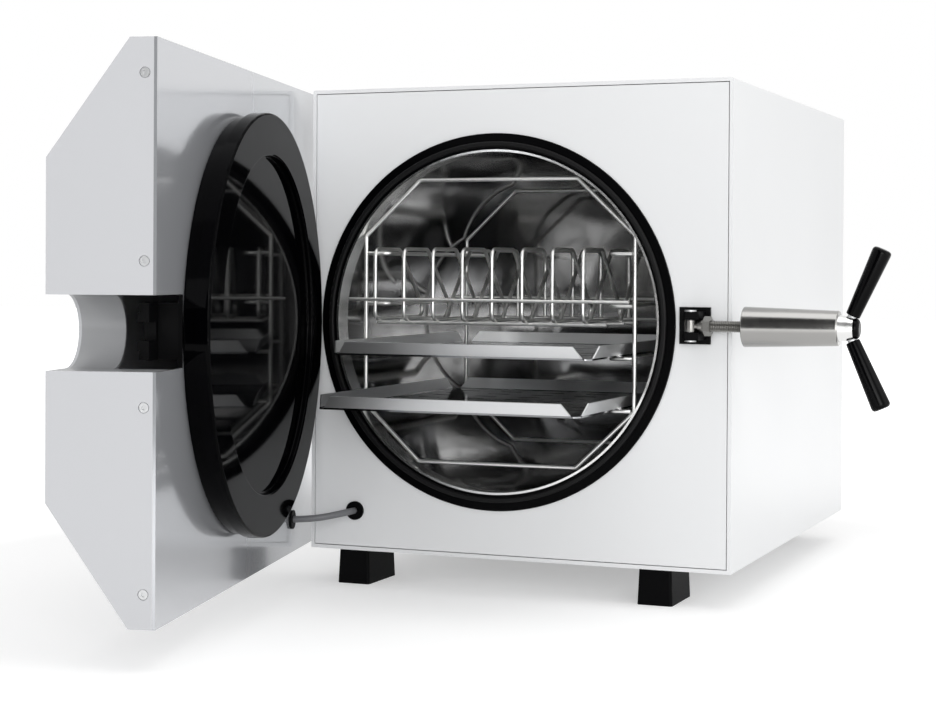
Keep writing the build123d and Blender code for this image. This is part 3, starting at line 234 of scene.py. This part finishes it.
# Drawn and tumbled wire, nearly white where it catches the lamps.
wire_steel = steel("bright_drawn_wire", "#F6F6F4", 0.38, (0.3, 0.3, 0.3), 1.0, 0.1)
# Zinc plate on screws and pins: pale and soft.
zinc_steel = steel("zinc_plated_steel", "#D4D5D6", 0.45, (0.5, 0.5, 0.5), 0.6, 0.2)
dress(chamber_steel, "chamber_vessel")
dress(lip_steel, "chamber_flange", "handle_hub")
dress(tray_steel, "upper_tray", "lower_tray")
dress(turned_steel, "clamp_nut")
dress(wire_steel, "rack_front_frame", "rack_rear_frame", "rack_rails", "pouch_front_hoops",
      "pouch_rear_hoops", "pouch_bars")
dress(bolt_steel, "swing_bolt", "lock_nut", "thrust_washer")
dress(zinc_steel, "rear_screws", "foot_screws", "hinge_screws", "door_screws", "lid_bolts", "hinge_leaf",
      "hinge_pin", "clevis_pin", "lever_studs", "chamber_saddles", "temperature_probe")

# %% [markdown]
# A tray's floor keeps the mill's mirror and looks dark, because it mirrors the dark chamber; it is also
# coloured a darker grey than its rims, which is painted shade. Its folded rims are brushed and look pale. Two
# materials would need two sets of faces; height alone tells floor from rim, so one material changes at the
# floor's height.

# %% Tray floors and rims
UPPER_FLOOR_M = 0.1772
LOWER_FLOOR_M = 0.1395
FLOOR_HALF_M = 0.0009
RIM_ROUGHNESS = 0.36
FLOOR_ROUGHNESS = 0.1

tray_tree = tray_steel.node_tree
tray_shader = tray_tree.nodes["Principled BSDF"]
tray_place = node(tray_tree, "ShaderNodeTexCoord")
tray_axes = node(tray_tree, "ShaderNodeSeparateXYZ", {0: tray_place.outputs["Object"]})
on_upper = node(tray_tree, "ShaderNodeMath", {0: tray_axes.outputs["Z"], 1: UPPER_FLOOR_M, 2: FLOOR_HALF_M},
                operation="COMPARE")
on_lower = node(tray_tree, "ShaderNodeMath", {0: tray_axes.outputs["Z"], 1: LOWER_FLOOR_M, 2: FLOOR_HALF_M},
                operation="COMPARE")
on_floor = node(tray_tree, "ShaderNodeMath", {0: on_upper.outputs[0], 1: on_lower.outputs[0]}, operation="ADD")
tray_rough = node(tray_tree, "ShaderNodeMapRange", {"Value": on_floor.outputs[0], "To Min": RIM_ROUGHNESS,
                                                    "To Max": FLOOR_ROUGHNESS})
# Painted shade: the floors are coloured a darker grey than the rims of the same steel.
tray_floor_shade_ramp = node(tray_tree, "ShaderNodeValToRGB", {"Fac": on_floor.outputs[0]})
tray_floor_shade_ramp.color_ramp.elements[0].color = linear("#E0E1E2")
tray_floor_shade_ramp.color_ramp.elements[1].color = linear("#8E8F91")
tray_tree.links.new(tray_rough.outputs[0], tray_shader.inputs["Roughness"])
tray_tree.links.new(tray_floor_shade_ramp.outputs["Color"], tray_shader.inputs["Base Color"])
print("tray floors at", UPPER_FLOOR_M, "and", LOWER_FLOOR_M)

# %% [markdown]
# Black pieces differ by gloss, not by colour. The lid is enamelled and mirrors the racks, the ring is satin,
# the levers are polished phenolic, and the feet and grommets are rubber with a dull skin. One function takes
# the gloss and a grain as fine as the moulding's.

# %% Black finishes
GRAIN_WAVE_MM = 0.05


def plain(name, colour, roughness, grain_mm, depth, gloss=0.5):
    """A moulded or enamelled finish: noise grain_mm across bumps it and varies its roughness a little."""
    mat, tree, shader = material(name)
    place = node(tree, "ShaderNodeTexCoord")
    grain = node(tree, "ShaderNodeTexNoise", {"Vector": place.outputs["Object"],
                                              "Scale": 1 / (grain_mm * MM), "Detail": 2.0})
    rough = node(tree, "ShaderNodeMapRange", {"Value": grain.outputs[0], "To Min": roughness * 0.8,
                                              "To Max": roughness * 1.25})
    bump = node(tree, "ShaderNodeBump", {"Height": grain.outputs[0], "Strength": depth,
                                         "Distance": GRAIN_WAVE_MM * MM})
    tree.links.new(rough.outputs[0], shader.inputs["Roughness"])
    tree.links.new(bump.outputs[0], shader.inputs["Normal"])
    shader.inputs["Base Color"].default_value = linear(colour)
    shader.inputs["Specular IOR Level"].default_value = gloss
    return mat


# Stoved enamel: deep black with a sharp, faint mirror image of the racks.
lid_enamel = plain("gloss_black_enamel", "#020203", 0.05, 8.0, 0.05, 0.03)
# Satin moulding: black with hardly a highlight.
ring_black = plain("satin_black_moulding", "#020203", 0.32, 0.6, 0.2, 0.05)
# Silicone: the mattest black, a touch paler.
gasket_black = plain("silicone_gasket", "#0A0A0B", 0.5, 0.8, 0.2, 0.2)
# Polished phenolic: a thin highlight along each lever.
lever_black = plain("polished_phenolic", "#020203", 0.2, 3.0, 0.08, 0.08)
# Rubber: dull, with a slight grain.
rubber_black = plain("dull_rubber", "#030304", 0.5, 0.5, 0.4, 0.06)
# Black oxide on castings: matt, with a cast grain.
iron_black = plain("black_oxide_casting", "#030304", 0.45, 0.7, 0.5, 0.1)
dress(lid_enamel, "lid_plate", "display_window")
dress(ring_black, "mouth_ring", "control_fascia", "power_inlet", "rocker_switch", "solenoid_valve")
dress(gasket_black, "mouth_gasket")
dress(lever_black, "levers", "hub_cap")
dress(rubber_black, "feet", "panel_grommet", "door_grommet")
dress(iron_black, "lid_yoke", "closure_clevis")

# %% [markdown]
# What sits inside and behind is seen only when the casing is off or from the back: brass fittings, a copper
# heater and steam pipe, green boards, a felt jacket. They take the same two functions with other values.

# %% Service finishes
# Turned brass, a warm yellow metal.
brass = steel("turned_brass", "#C9A35A", 0.25, (0.3, 0.3, 0.3), 0.6, 0.2)
# Drawn copper, redder than the brass.
copper = steel("drawn_copper", "#C07A55", 0.25, (0.3, 0.3, 0.3), 0.8, 0.2)
# Solder mask on glass fibre: green and half glossy.
board_green = plain("circuit_board_green", "#1E5A38", 0.4, 2.0, 0.1)
# Needled felt: no highlight at all.
jacket_felt = plain("insulation_felt", "#D8D2C4", 0.9, 2.0, 0.8)
# White moulded keys and light pipes.
key_white = plain("white_key_moulding", "#E4E5E6", 0.3, 1.0, 0.1)
# The door cable's grey sheath.
cable_grey = plain("grey_cable_sheath", "#6E6F72", 0.45, 0.8, 0.2)
dress(brass, "safety_valve", "drain_spigot")
dress(copper, "steam_pipe", "band_heater")
dress(board_green, "control_board", "display_board")
dress(jacket_felt, "insulation_jacket")
dress(key_white, "start_button", "mode_button", "stop_button", "status_lights")

# %% [markdown]
# New pieces are grids of points worked out with numpy. Each grid has rows along the piece and columns round
# it, neighbours become four-sided faces, and points that fall together, as at a pole, are merged. Modelling
# by hand gives the same shapes, but a grid keeps every radius and pitch as a number that can be checked.

# %% Meshes from grids
MERGE_M = 2e-6
SMOOTH_DEG = 35


def mesh_piece(name, grids, mat):
    """One mesh from grids of rows by columns, each closed round its columns, with its poles merged."""
    points, faces, start = [], [], 0
    for grid in grids:
        rows, columns = grid.shape[:2]
        i, j = np.meshgrid(np.arange(rows - 1), np.arange(columns), indexing="ij")
        k = (j + 1) % columns
        quads = np.stack([i * columns + j, i * columns + k, (i + 1) * columns + k, (i + 1) * columns + j], -1)
        points.append(grid.reshape(-1, 3))
        faces.append(quads.reshape(-1, 4) + start)
        start += rows * columns
    mesh = bpy.data.meshes.new(name)
    mesh.from_pydata(np.concatenate(points).tolist(), [], np.concatenate(faces).tolist())
    shape = bmesh.new()
    shape.from_mesh(mesh)
    bmesh.ops.remove_doubles(shape, verts=shape.verts, dist=MERGE_M)
    bmesh.ops.recalc_face_normals(shape, faces=shape.faces)
    shape.to_mesh(mesh)
    shape.free()
    mesh.polygons.foreach_set("use_smooth", np.ones(len(mesh.polygons), dtype=bool))
    mesh.set_sharp_from_angle(angle=math.radians(SMOOTH_DEG))
    mesh.materials.append(mat)
    made = bpy.data.objects.new(name, mesh)
    scene.collection.objects.link(made)
    print(name, len(mesh.polygons), "faces")
    return made


def with_ends(skin):
    """A grid with one more row at each end, where all points fall on the end ring's middle."""
    middles = [np.repeat(ring.mean(axis=0)[None, None], skin.shape[1], axis=1) for ring in (skin[0], skin[-1])]
    return np.concatenate([middles[0], skin, middles[1]])


print("grid helpers ready")

# %% [markdown]
# Most round pieces of the closure came off a lathe. On a real lathe a tool follows a profile while the work
# spins; here the profile's points are spun instead. Its corners are rounded first, because a broken edge is
# what catches the light.

# %% Turning on a lathe
CORNER_STEPS = 6


def rounded(profile):
    """A profile of (along, radius, edge) in mm, where edge is the size of the corner's rounding: each corner
    becomes a quadratic curve from edge before it to edge after it."""
    made = []
    last = len(profile) - 1
    for n, (x, r, edge) in enumerate(profile):
        here = np.array((x, r), float)
        if edge == 0 or n in (0, last):
            made.append(here)
            continue
        before = np.array(profile[n - 1][:2], float) - here
        after = np.array(profile[n + 1][:2], float) - here
        a = here + before / np.linalg.norm(before) * edge
        b = here + after / np.linalg.norm(after) * edge
        t = np.linspace(0, 1, CORNER_STEPS)[:, None]
        made.extend((1 - t) ** 2 * a + 2 * t * (1 - t) * here + t ** 2 * b)
    return np.array(made)


def lathe(profile, at, axis, sides):
    """A profile turned round an axis: at + x * axis + r (cos v * side + sin v * top), v all the way round."""
    axis = np.array(Vector(axis).normalized())
    side = np.array(Vector(axis).orthogonal().normalized())
    top = np.cross(axis, side)
    v = np.linspace(0, 2 * math.pi, sides, endpoint=False)
    turned = np.cos(v)[:, None] * side + np.sin(v)[:, None] * top
    x = profile[:, 0, None, None] * MM
    r = profile[:, 1, None, None] * MM
    return np.array(at) + x * axis + r * turned


print("lathe ready")

# %% [markdown]
# The cable is flexible and crosses the door's hinge, from a grommet in the front panel to one in the door.
# Its line is a smooth NURBS curve through the same few points as the model's tube, and a round section is
# carried along it. A curve with a bevel would look the same; here it is a mesh.

# %% Door cable
CABLE_R = 2.5 * MM
CABLE_SIDES = 20
CURVE_STEPS = 24
CABLE_ROUTE = (
    (-0.141, -0.020, 0.056),
    (-0.141, -0.043, 0.056),
    (-0.16492, -0.05964, 0.051),
    (-0.18638, -0.06448, 0.051),
)


def centreline(points):
    """Points along the route's own NURBS spline."""
    curve = bpy.data.curves.new("route", "CURVE")
    curve.dimensions = "3D"
    curve.resolution_u = CURVE_STEPS
    spline = curve.splines.new("NURBS")
    spline.points.add(len(points) - 1)
    for target, point in zip(spline.points, points):
        target.co = (*point, 1.0)
    spline.order_u = 3
    spline.use_endpoint_u = True
    carrier = bpy.data.objects.new("route", curve)
    mesh = bpy.data.meshes.new_from_object(carrier)
    flat = np.empty(3 * len(mesh.vertices), dtype=np.float32)
    mesh.vertices.foreach_get("co", flat)
    bpy.data.objects.remove(carrier)
    return flat.reshape(-1, 3).astype(float)


def tube(line, radius, sides):
    """A round section along a line: centre + r (cos v * side + sin v * top), side level with the floor."""
    along = np.gradient(line, axis=0)
    along /= np.linalg.norm(along, axis=1)[:, None]
    side = np.cross(along, (0.0, 0.0, 1.0))
    side /= np.linalg.norm(side, axis=1)[:, None]
    top = np.cross(side, along)
    v = np.linspace(0, 2 * math.pi, sides, endpoint=False)
    ring = np.cos(v)[None, :, None] * side[:, None, :] + np.sin(v)[None, :, None] * top[:, None, :]
    return with_ends(line[:, None, :] + radius * ring)


cable_line = centreline(CABLE_ROUTE)
cable = mesh_piece("door_cable_sheath", [tube(cable_line, CABLE_R, CABLE_SIDES)], cable_grey)
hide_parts("door_cable")
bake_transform(cable)

# %% [markdown]
# The closure is an eye bolt with an M8 thread of 1.25 mm pitch, and it shows bare between its nut and the
# barrel. A thread is often faked with a texture or stacked rings. Here it is one surface, because a true
# ridge climbs as it goes round and shows on the rod's outline.

# %% Swing bolt with its thread
BOLT_AT = np.array((0.1219, -0.0404, 0.2))
ALONG_X = np.array((1.0, 0.0, 0.0))
ROD_R = 4.0
PITCH = 1.25
THREAD_DEPTH = 0.72
THREAD_START = 9.6
THREAD_END = 96.2
STEPS_A_PITCH = 8
FLANK_GAIN = 1.3
THREAD_SIDES = 32
TURNED_SIDES = 48
NECK_PROFILE = [(3.3, 0, 0), (3.3, 3.35, 0), (5.8, 3.35, 0), (5.8, 4.4, 0.4), (9.3, 4.4, 0.5), (9.3, 3.4, 0),
                (9.6, 3.4, 0)]
EYE_PROFILE = [(-4.4, 3.06, 0), (-4.4, 4.4, 0.5), (4.4, 4.4, 0.5), (4.4, 3.06, 0), (-4.4, 3.06, 0)]


def thread():
    """The radius at a place x along the rod and an angle v round it is the core's plus the depth times a
    triangle wave of x / pitch - v / full turn. The gain cuts the wave's tops flat, and the wave fades out
    over the last pitch."""
    x = np.arange(THREAD_START, THREAD_END, PITCH / STEPS_A_PITCH)
    v = np.linspace(0, 2 * math.pi, THREAD_SIDES, endpoint=False)
    wave = 1 - np.abs(2 * np.mod(x[:, None] / PITCH - v[None, :] / (2 * math.pi), 1) - 1)
    fade = np.clip((THREAD_END - x) / PITCH, 0, 1)[:, None]
    radius = ROD_R - THREAD_DEPTH + THREAD_DEPTH * np.clip(FLANK_GAIN * wave, 0, 1) * fade
    turned = np.stack([np.zeros_like(v), np.cos(v), np.sin(v)], -1)
    skin = BOLT_AT + x[:, None, None] * MM * ALONG_X + radius[:, :, None] * MM * turned
    start, end = [np.repeat((BOLT_AT + place * MM * ALONG_X)[None, None], THREAD_SIDES, axis=1)
                  for place in (THREAD_START, THREAD_END)]
    return np.concatenate([start, skin, end])


neck = lathe(rounded(NECK_PROFILE), BOLT_AT, ALONG_X, TURNED_SIDES)
eye = lathe(rounded(EYE_PROFILE), BOLT_AT, (0, 0, 1), TURNED_SIDES)
bolt = mesh_piece("swing_bolt_threaded", [neck, thread(), eye], bolt_steel)
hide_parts("swing_bolt")
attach(bolt, "bolt")

# %% [markdown]
# The hand nut is a tapered steel barrel, bored from one end. It is turned from a closed profile that runs
# through the bore and back along the outside, so the barrel has a real wall and a real hole. The real bore is
# threaded; here it is plain, because the bolt fills it.

# %% Barrel nut
BARREL_SIDES = 128
BARREL_PROFILE = [(100.2, 0, 0), (100.2, 4.06, 0), (41.6, 4.06, 0), (41.6, 9.3, 0), (38.5, 9.3, 0),
                  (38.5, 14.0, 0.8), (104.2, 12.0, 0.8), (104.2, 0, 0)]

barrel = lathe(rounded(BARREL_PROFILE), BOLT_AT, ALONG_X, BARREL_SIDES)
nut = mesh_piece("barrel_nut", [barrel], turned_steel)
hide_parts("clamp_nut")
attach(nut, "hand_nut")

# %% [markdown]
# Each lever is a moulded grip on a steel stud. It swells a little towards its end, which is well rounded.
# Both are the same profile, turned round an axis that leans up or down from the barrel's own.

# %% Levers
LEVER_LEAN = math.radians(66.0)
HUB_X = 109.3
LEVER_SIDES = 64
GRIP_PROFILE = [(26.0, 0, 0), (26.0, 3.2, 0), (9.4, 3.2, 0), (9.4, 4.9, 1.0), (59.0, 6.75, 3.2), (59.0, 0, 0)]

hub_at = BOLT_AT + HUB_X * MM * ALONG_X
for way, name in ((1, "lever_upper"), (-1, "lever_lower")):
    lean = (math.cos(LEVER_LEAN), 0.0, way * math.sin(LEVER_LEAN))
    lever = mesh_piece(name, [lathe(rounded(GRIP_PROFILE), hub_at, lean, LEVER_SIDES)], lever_black)
    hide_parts("levers")
    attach(lever, "hand_nut")

# %% [markdown]
# Where the notch ends under the lid, the photograph shows black and no bare sheet. A thin black strip covers
# the plate's cut edge there, as one does where hands reach past a sheet. It is a plain bar: its four corners
# are given in the door's own measures, which are turned with the door.

# %% Edge strip in the notch
DOOR_REST = math.radians(77.3)
HINGE_AT = (-171.8, -41.4)
EDGE_U = 284.0
EDGE_V = -11.3
EDGE_Z = 200.0
EDGE_HALF = 22.4
STRIP_U = (-0.4, 0.7)
STRIP_V = (0.3, -2.3)


def door_point(u, v, z):
    """A place u along the door and v square to it, turned back by the rest angle about the hinge, in metres:
    x = hinge x + u cos a + v sin a, y = hinge y - u sin a + v cos a."""
    x = HINGE_AT[0] + u * math.cos(DOOR_REST) + v * math.sin(DOOR_REST)
    y = HINGE_AT[1] - u * math.sin(DOOR_REST) + v * math.cos(DOOR_REST)
    return (x * MM, y * MM, z * MM)


corners = [(EDGE_U + STRIP_U[i], EDGE_V + STRIP_V[j]) for i, j in ((0, 0), (1, 0), (1, 1), (0, 1))]
bar = np.array([[door_point(*corner, EDGE_Z + way * EDGE_HALF) for corner in corners] for way in (-1, 1)])
strip = mesh_piece("notch_edge_strip", [with_ends(bar)], rubber_black)
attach(strip, "door")

# %% [markdown]
# The pouch rack's dividers are loops of 3 mm wire, bent over a former, so each corner is a round arc. The
# line is worked out first, straight runs joined by arcs, and a round section is carried along it. A curve
# object could be bevelled instead, but its corners wouldn't keep the former's radius.

# %% Wire bending
ARC_STEPS = 9
WIRE_SIDES = 14


def bent_line(points, radius, closed):
    """Straight runs through points, each corner an arc of that radius: the arc starts radius * tan(half the
    turn) before the corner and swings about the centre that both runs touch."""
    points = [np.array(p, float) for p in points]
    count = len(points)
    line = [] if closed else [points[0]]
    for n in range(0 if closed else 1, count if closed else count - 1):
        a, b, c = points[n - 1], points[n], points[(n + 1) % count]
        u = (b - a) / np.linalg.norm(b - a)
        w = (c - b) / np.linalg.norm(c - b)
        turn = math.acos(float(np.clip(u @ w, -1, 1)))
        inward = (w - u) / np.linalg.norm(w - u)
        centre = b + inward * radius / math.cos(turn / 2)
        first = b - u * radius * math.tan(turn / 2) - centre
        t = np.linspace(0, turn, ARC_STEPS)[:, None]
        line.extend(centre + first * np.cos(t) + u * radius * np.sin(t))
    if not closed:
        line.append(points[-1])
    return np.array(line)


def flat_wire(line, radius, closed):
    """A round section along a line that lies square to X: point + r (cos v * X + sin v * n), where n lies in
    the line's plane, square to the line."""
    if closed:
        line = np.concatenate([line, line[:1]])
    along = np.gradient(line, axis=0)
    if closed:
        along[0] = along[-1] = line[1] - line[-2]
    along /= np.linalg.norm(along, axis=1)[:, None]
    across = np.cross(along, ALONG_X)
    v = np.linspace(0, 2 * math.pi, WIRE_SIDES, endpoint=False)
    ring = np.cos(v)[None, :, None] * ALONG_X + np.sin(v)[None, :, None] * across[:, None, :]
    skin = line[:, None, :] * MM + radius * ring
    return skin if closed else with_ends(skin)


print("wire bending ready")

# %% [markdown]
# Eight closed loops lean back in front and seven open ones lean forward behind them, between the front ones.
# Each row is one piece, because it is welded to the same bars and slides with them.

# %% Pouch rack dividers
WIRE_R = 1.45 * MM
FORMER_R = 6.5
CHAMBER_X = -30.0
FRONT_Y = -30.0
AXIS_Z = 200.0
HOOP_LOW = 1.0
HOOP_TOP = 53.63
HOOP_PITCH = 23.56
FIRST_HOOP_X = -97
FRONT_HOOPS = 8
REAR_HOOPS = 7
REAR_OFFSET = 1.5
FRONT_SHAPE = ((3.5, HOOP_LOW), (3.5, HOOP_TOP), (48.6, HOOP_TOP), (102.0, HOOP_LOW))
REAR_SHAPE = ((56.0, HOOP_LOW), (108.0, HOOP_TOP), (153.0, HOOP_TOP), (153.0, HOOP_LOW))


def hoop(shape, step, closed):
    """One divider: its shape of (depth, height) corners, step pitches from the first one."""
    x = CHAMBER_X + FIRST_HOOP_X + HOOP_PITCH * step
    corners = [(x, FRONT_Y + depth, AXIS_Z + height) for depth, height in shape]
    return flat_wire(bent_line(corners, FORMER_R, closed), WIRE_R, closed)


front_hoops = [hoop(FRONT_SHAPE, n, True) for n in range(FRONT_HOOPS)]
rear_hoops = [hoop(REAR_SHAPE, n + REAR_OFFSET, False) for n in range(REAR_HOOPS)]
for name, hoops, cad in (("pouch_dividers_front", front_hoops, "pouch_front_hoops"),
                         ("pouch_dividers_rear", rear_hoops, "pouch_rear_hoops")):
    dividers = mesh_piece(name, hoops, wire_steel)
    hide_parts(cad)
    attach(dividers, "pouch_rack")

# %% [markdown]
# The studio is a white sweep: a floor that stays white to the eye away from the machine and keeps the
# machine's soft shadow near it. A photographer hangs paper; here the floor glows a little to the camera, and
# more the farther it is from the machine.

# %% Floor
SWEEP_HALF_M = 8
NEAR_M = 0.5
FAR_M = 0.85
NEAR_GLOW = 0.36

floor_mesh = bpy.data.meshes.new("floor")
floor_corners = [(SWEEP_HALF_M * x, SWEEP_HALF_M * y, 0) for x, y in ((-1, -1), (1, -1), (1, 1), (-1, 1))]
floor_mesh.from_pydata(floor_corners, [], [(0, 1, 2, 3)])
floor = bpy.data.objects.new("floor", floor_mesh)
scene.collection.objects.link(floor)

# Matt white paper: it takes a shadow and has no shine.
floor_mat, floor_tree, floor_shader = material("white_sweep")
floor_shader.inputs["Base Color"].default_value = linear("#E8E8E8")
floor_shader.inputs["Roughness"].default_value = 0.9
floor_shader.inputs["Specular IOR Level"].default_value = 0.0
floor_shader.inputs["Emission Color"].default_value = (1, 1, 1, 1)
rays = node(floor_tree, "ShaderNodeLightPath")
seen = node(floor_tree, "ShaderNodeMath", {0: rays.outputs["Is Camera Ray"], 1: rays.outputs["Is Glossy Ray"]},
            operation="MAXIMUM")
floor_place = node(floor_tree, "ShaderNodeTexCoord")
away = node(floor_tree, "ShaderNodeVectorMath", {0: floor_place.outputs["Object"]}, operation="LENGTH")
white = node(floor_tree, "ShaderNodeMapRange", {"Value": away.outputs["Value"], "From Min": NEAR_M,
                                                "From Max": FAR_M, "To Min": NEAR_GLOW, "To Max": 1.0})
glow = node(floor_tree, "ShaderNodeMath", {0: seen.outputs[0], 1: white.outputs[0]}, operation="MULTIPLY")
floor_tree.links.new(glow.outputs[0], floor_shader.inputs["Emission Strength"])
floor_mesh.materials.append(floor_mat)
print("floor", 2 * SWEEP_HALF_M, "m wide")

# %% [markdown]
# A mirror in a white room is white. Photographers hang a black cloth, a flag, beside the camera, so that
# chrome has something dark to mirror. This one leans over towards the machine. It gives the barrel its dark
# band, and only reflections see it.

# %% Dark flag beside the camera
FLAG_CORNERS = [(-0.5, -1.5, 0.02), (0.4, -1.5, 0.02), (0.4, -1.0, 2.1), (-0.5, -1.0, 2.1)]

flag_mesh = bpy.data.meshes.new("flag")
flag_mesh.from_pydata(FLAG_CORNERS, [], [(0, 1, 2, 3)])
flag = bpy.data.objects.new("flag", flag_mesh)
scene.collection.objects.link(flag)
flag.visible_camera = False
flag.visible_shadow = False
flag.visible_diffuse = False

# Black felt: no shine, nearly no colour.
flag_mat, _, flag_shader = material("black_felt_flag")
flag_shader.inputs["Base Color"].default_value = linear("#141414")
flag_shader.inputs["Roughness"].default_value = 1.0
flag_shader.inputs["Specular IOR Level"].default_value = 0.0
flag_mesh.materials.append(flag_mat)
print("flag", len(flag_mesh.polygons), "face")

# %% [markdown]
# Softboxes light the machine: a wide one overhead, one to the right for the bright side, one in front and a
# small low one that reaches the front panel beneath the trays. Large lamps make the soft shadows that the
# photograph has.

# %% Lights
MACHINE = (0, 0.17, 0.2)
PANEL_LEFT = (-0.15, 0, 0.15)


def softbox(name, at, aim, size, power):
    """A rectangular lamp of size metres at one place, turned to face another, with its power in watts."""
    data = bpy.data.lights.new(name, "AREA")
    data.shape = "RECTANGLE"
    data.size, data.size_y = size
    data.energy = power
    lamp = bpy.data.objects.new(name, data)
    lamp.location = at
    lamp.rotation_euler = (Vector(aim) - Vector(at)).to_track_quat("-Z", "Y").to_euler()
    scene.collection.objects.link(lamp)
    print(name, power, "W")


softbox("overhead", (0.3, -0.3, 2.2), MACHINE, (2.4, 2.0), 15)
softbox("right_side", (2.4, -0.2, 0.9), MACHINE, (1.6, 1.6), 12)
softbox("front", (0.9, -2.5, 0.8), MACHINE, (2.0, 1.0), 19)
softbox("fill", (0.75, -1.5, 0.25), PANEL_LEFT, (0.7, 0.4), 3.5)

# %% [markdown]
# The room round the machine is white. To the camera and to reflections it is at full strength; as a light it
# is weaker, so that the lamps keep their shadows.

# %% World
WORLD_LIGHT = 0.54

world = bpy.data.worlds.new("studio")
scene.world = world
world.use_nodes = True
world_tree = world.node_tree
world_rays = node(world_tree, "ShaderNodeLightPath")
world_seen = node(world_tree, "ShaderNodeMath", {0: world_rays.outputs["Is Camera Ray"],
                                                 1: world_rays.outputs["Is Glossy Ray"]}, operation="MAXIMUM")
world_power = node(world_tree, "ShaderNodeMapRange", {"Value": world_seen.outputs[0], "To Min": WORLD_LIGHT,
                                                      "To Max": 1.0})
background = world_tree.nodes["Background"]
background.inputs["Color"].default_value = (1, 1, 1, 1)
world_tree.links.new(world_power.outputs[0], background.inputs["Strength"])
print("world light", WORLD_LIGHT)
